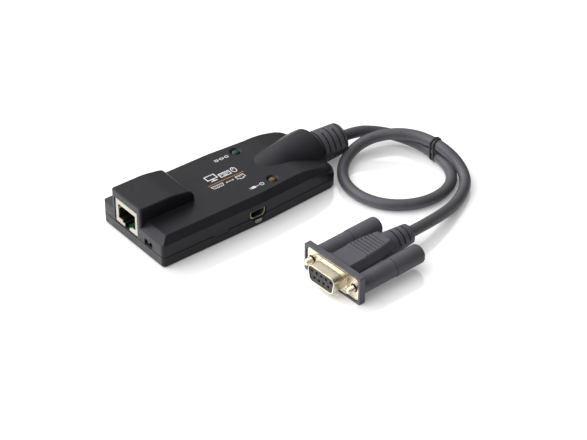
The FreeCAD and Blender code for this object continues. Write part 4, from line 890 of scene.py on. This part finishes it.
def make_roof():
    """A copy of the shell's mesh with every point brought under its limit."""
    source = NODES["upper_shell"].data
    shape = bmesh.new()
    shape.from_mesh(source)
    kept = shape.loops.layers.float_vector.new("kept_normal")
    shape.faces.ensure_lookup_table()
    for face, old in zip(shape.faces, source.polygons):
        for corner, index in zip(face.loops, old.loop_indices):
            corner[kept] = source.corner_normals[index].vector
    bmesh.ops.bisect_plane(shape, geom=shape.verts[:] + shape.edges[:] + shape.faces[:],
                           plane_co=(FALL_START * MM, 0.0, 0.0), plane_no=(1.0, 0.0, 0.0))
    shape.normal_update()
    targets = {}
    normals = []
    for face in shape.faces:
        inside = face.normal.z < 0.0
        lowered = False
        for corner in face.loops:
            place = corner.vert.co
            limit = MM * (roof_limit(place.x / MM, place.y / MM) - (ROOF_THICK if inside else 0.0))
            if place.z > limit:
                lowered = lowered or abs(face.normal.z) > STEEP_FACE
                targets[corner.vert] = min(limit, targets.get(corner.vert, limit))
        for corner in face.loops:
            level = (0.0, 0.0, -1.0 if inside else 1.0)
            normals.append(level if lowered else tuple(corner[kept]))
    for point, height in targets.items():
        point.co.z = height
    shape.loops.layers.float_vector.remove(kept)
    mesh = bpy.data.meshes.new("roof_shell")
    shape.to_mesh(mesh)
    shape.free()
    mesh.normals_split_custom_set(normals)
    new_piece("roof_shell", mesh, "case_plastic", "case_plastic", "adapter", "upper_shell")


# Strain relief: a tapered boot cut by slots that leave webs at its sides, and by turns below and above

BOOT_START, BOOT_END = 46.2, 62.0
BOOT_ROOT, BOOT_TIP, BOOT_BORE = 7.75, 7.0, 2.45
BOOT_HEIGHT = 7.8
BOOT_ROUND, BOOT_ROUND_STEPS = 0.6, 4
BOOT_SIDES = 90
SLOT_FIRST, SLOT_PITCH, SLOT_COUNT = 48.2, 2.95, 5
SLOT_WIDTH, SLOT_DEPTH, SLOT_DRAFT = 0.9, 1.7, 0.05
SIDE_WEB, LOWER_WEB, UPPER_WEB, WEB_HALF = 96.0, 180.0, 0.0, 10.0
BOOT_SHARP = math.radians(30)


def slot_depth(x, angle):
    """Depth of the slots at a place along the boot and an angle from its top, in degrees."""
    away = min(angle, 360.0 - angle)
    for index in range(SLOT_COUNT):
        past = x - SLOT_FIRST - index * SLOT_PITCH
        if SLOT_DRAFT / 2 < past < SLOT_WIDTH - SLOT_DRAFT / 2:
            middle_web = UPPER_WEB if index % 2 else LOWER_WEB
            in_web = min(abs(away - SIDE_WEB), abs(away - middle_web)) < WEB_HALF
            return 0.0 if in_web else SLOT_DEPTH
    return 0.0


def boot_ring(x, radius):
    ring = []
    for index in range(BOOT_SIDES):
        angle = 360.0 * index / BOOT_SIDES
        reach = radius - slot_depth(x, angle)
        turn = math.radians(angle)
        ring.append((MM * x, MM * reach * math.sin(turn), MM * (BOOT_HEIGHT + reach * math.cos(turn))))
    return ring


def make_boot():
    places = [BOOT_START]
    for index in range(SLOT_COUNT):
        start = SLOT_FIRST + index * SLOT_PITCH
        places += [start, start + SLOT_DRAFT, start + SLOT_WIDTH - SLOT_DRAFT, start + SLOT_WIDTH]
    rows = []
    for x in places:
        share = (x - BOOT_START) / (BOOT_END - BOOT_START)
        rows.append(boot_ring(x, BOOT_ROOT + (BOOT_TIP - BOOT_ROOT) * share))
    for step in range(BOOT_ROUND_STEPS + 1):
        turn = math.radians(90 * step / BOOT_ROUND_STEPS)
        rows.append(boot_ring(BOOT_END - BOOT_ROUND * (1.0 - math.sin(turn)),
                              BOOT_TIP - BOOT_ROUND * (1.0 - math.cos(turn))))
    rows.append(boot_ring(BOOT_END, BOOT_BORE))
    mesh = grid_mesh("lead_boot", rows)
    turn_outward(mesh)
    mesh.set_sharp_from_angle(angle=BOOT_SHARP)
    return new_piece("lead_boot", mesh, "overmould", "overmould", "adapter", "lead_strain_relief")


# Jackscrews with a cut thread at the tip

PLUG_PLACE = Vector((-0.7, -72.3, 6.4))
PLUG_HEADING = math.radians(2.7)
SCREW_ACROSS = 24.99 / 2
SCREW_RADIUS, SHANK_RADIUS = 1.42, 1.1
SCREW_TIP, THREAD_END, SCREW_END = -3.2, 0.2, 26.8
THREAD_PITCH = 0.64
THREAD_DEPTH = 0.26
THREAD_STEP, THREAD_FLANK = 0.06, 1.3
SCREW_BEVEL = 0.4
SCREW_SIDES = 28


def screw_ring(place, turn, along, radii):
    ring = []
    for index, radius in enumerate(radii):
        angle = 2 * math.pi * index / len(radii)
        local = Vector((along, radius * math.cos(angle), radius * math.sin(angle)))
        ring.append(tuple(MM * value for value in place + turn @ local))
    return ring


def make_jackscrew(label, side):
    turn = Matrix.Rotation(PLUG_HEADING, 3, "Z")
    place = PLUG_PLACE + turn @ Vector((0, side * SCREW_ACROSS, 0))
    rows = []
    steps = round((THREAD_END - SCREW_TIP) / THREAD_STEP)
    for step in range(steps + 1):
        along = SCREW_TIP + (THREAD_END - SCREW_TIP) * step / steps
        radii = []
        for index in range(SCREW_SIDES):
            phase = (along / THREAD_PITCH + index / SCREW_SIDES) % 1.0
            cut = THREAD_DEPTH * max(0.0, 1.0 - abs(2.0 * phase - 1.0) * THREAD_FLANK)
            crest = min(SCREW_RADIUS, SCREW_RADIUS - SCREW_BEVEL + along - SCREW_TIP)
            radii.append(min(crest, SCREW_RADIUS - cut))
        rows.append(screw_ring(place, turn, along, radii))
    for along in (THREAD_END, SCREW_END):
        rows.append(screw_ring(place, turn, along, [SHANK_RADIUS] * SCREW_SIDES))
    mesh = grid_mesh(f"{label}_screw", rows)
    return new_piece(f"{label}_screw", mesh, "plated_steel", "plated_steel", f"{label}_thumbscrew",
                     f"{label}_jackscrew")


# Wire tie: two narrow turns round both strands

TIE_PLACE = Vector((90.95, -30.6, 0.0))
TIE_HEADING = math.radians(4.0)
STRAND_LOW, STRAND_HIGH = 3.3, 8.8
TIE_INNER = 2.53
TIE_THICK = 0.55
TIE_WIDTH = 0.85
TIE_TURNS = (-0.62, 0.5)
TIE_SKEW = 0.35
TIE_STEPS = 64
TIE_SECTION = ((0.0, -0.5), (0.75, -0.5), (1.0, -0.3), (1.0, 0.3), (0.75, 0.5), (0.0, 0.5))


def tie_section(angle, along, swing):
    """The strip's section where it lies at this angle round the pair of strands."""
    across, up = math.cos(angle), math.sin(angle)
    middle = STRAND_HIGH if up > 0 else STRAND_LOW
    shift = along + swing * across
    corners = []
    for reach, edge in TIE_SECTION:
        radius = TIE_INNER + TIE_THICK * reach
        corners.append(Vector((radius * across, shift + TIE_WIDTH * edge, middle + radius * up)))
    return corners


def make_tie():
    turn = Matrix.Rotation(TIE_HEADING, 3, "Z")
    parts = bmesh.new()
    for along, swing in zip(TIE_TURNS, (TIE_SKEW, -TIE_SKEW)):
        rows = []
        for index in range(TIE_STEPS):
            angle = 2 * math.pi * (index + 0.5) / TIE_STEPS
            rows.append([tuple(MM * value for value in TIE_PLACE + turn @ corner)
                         for corner in tie_section(angle, along, swing)])
        parts.from_mesh(grid_mesh("tie_turn", rows, True, False))
    mesh = bpy.data.meshes.new("wire_tie")
    bmesh.ops.recalc_face_normals(parts, faces=parts.faces)
    parts.to_mesh(mesh)
    parts.free()
    return new_piece("wire_tie", mesh, "black_plastic", "black_plastic", "adapter", "lead_tie")


make_camera()
make_floor()
make_studio()
dress_nodes()
make_print()
make_jack_shade_lining()
make_tail_cover()
make_swelling()
make_roof()
make_lens("online_lamp", "green_lens")
make_lens("power_lamp", "amber_lens")
left_screw = make_jackscrew("left", 1)
right_screw = make_jackscrew("right", -1)
tie = make_tie()
boot = make_boot()
make_lead()
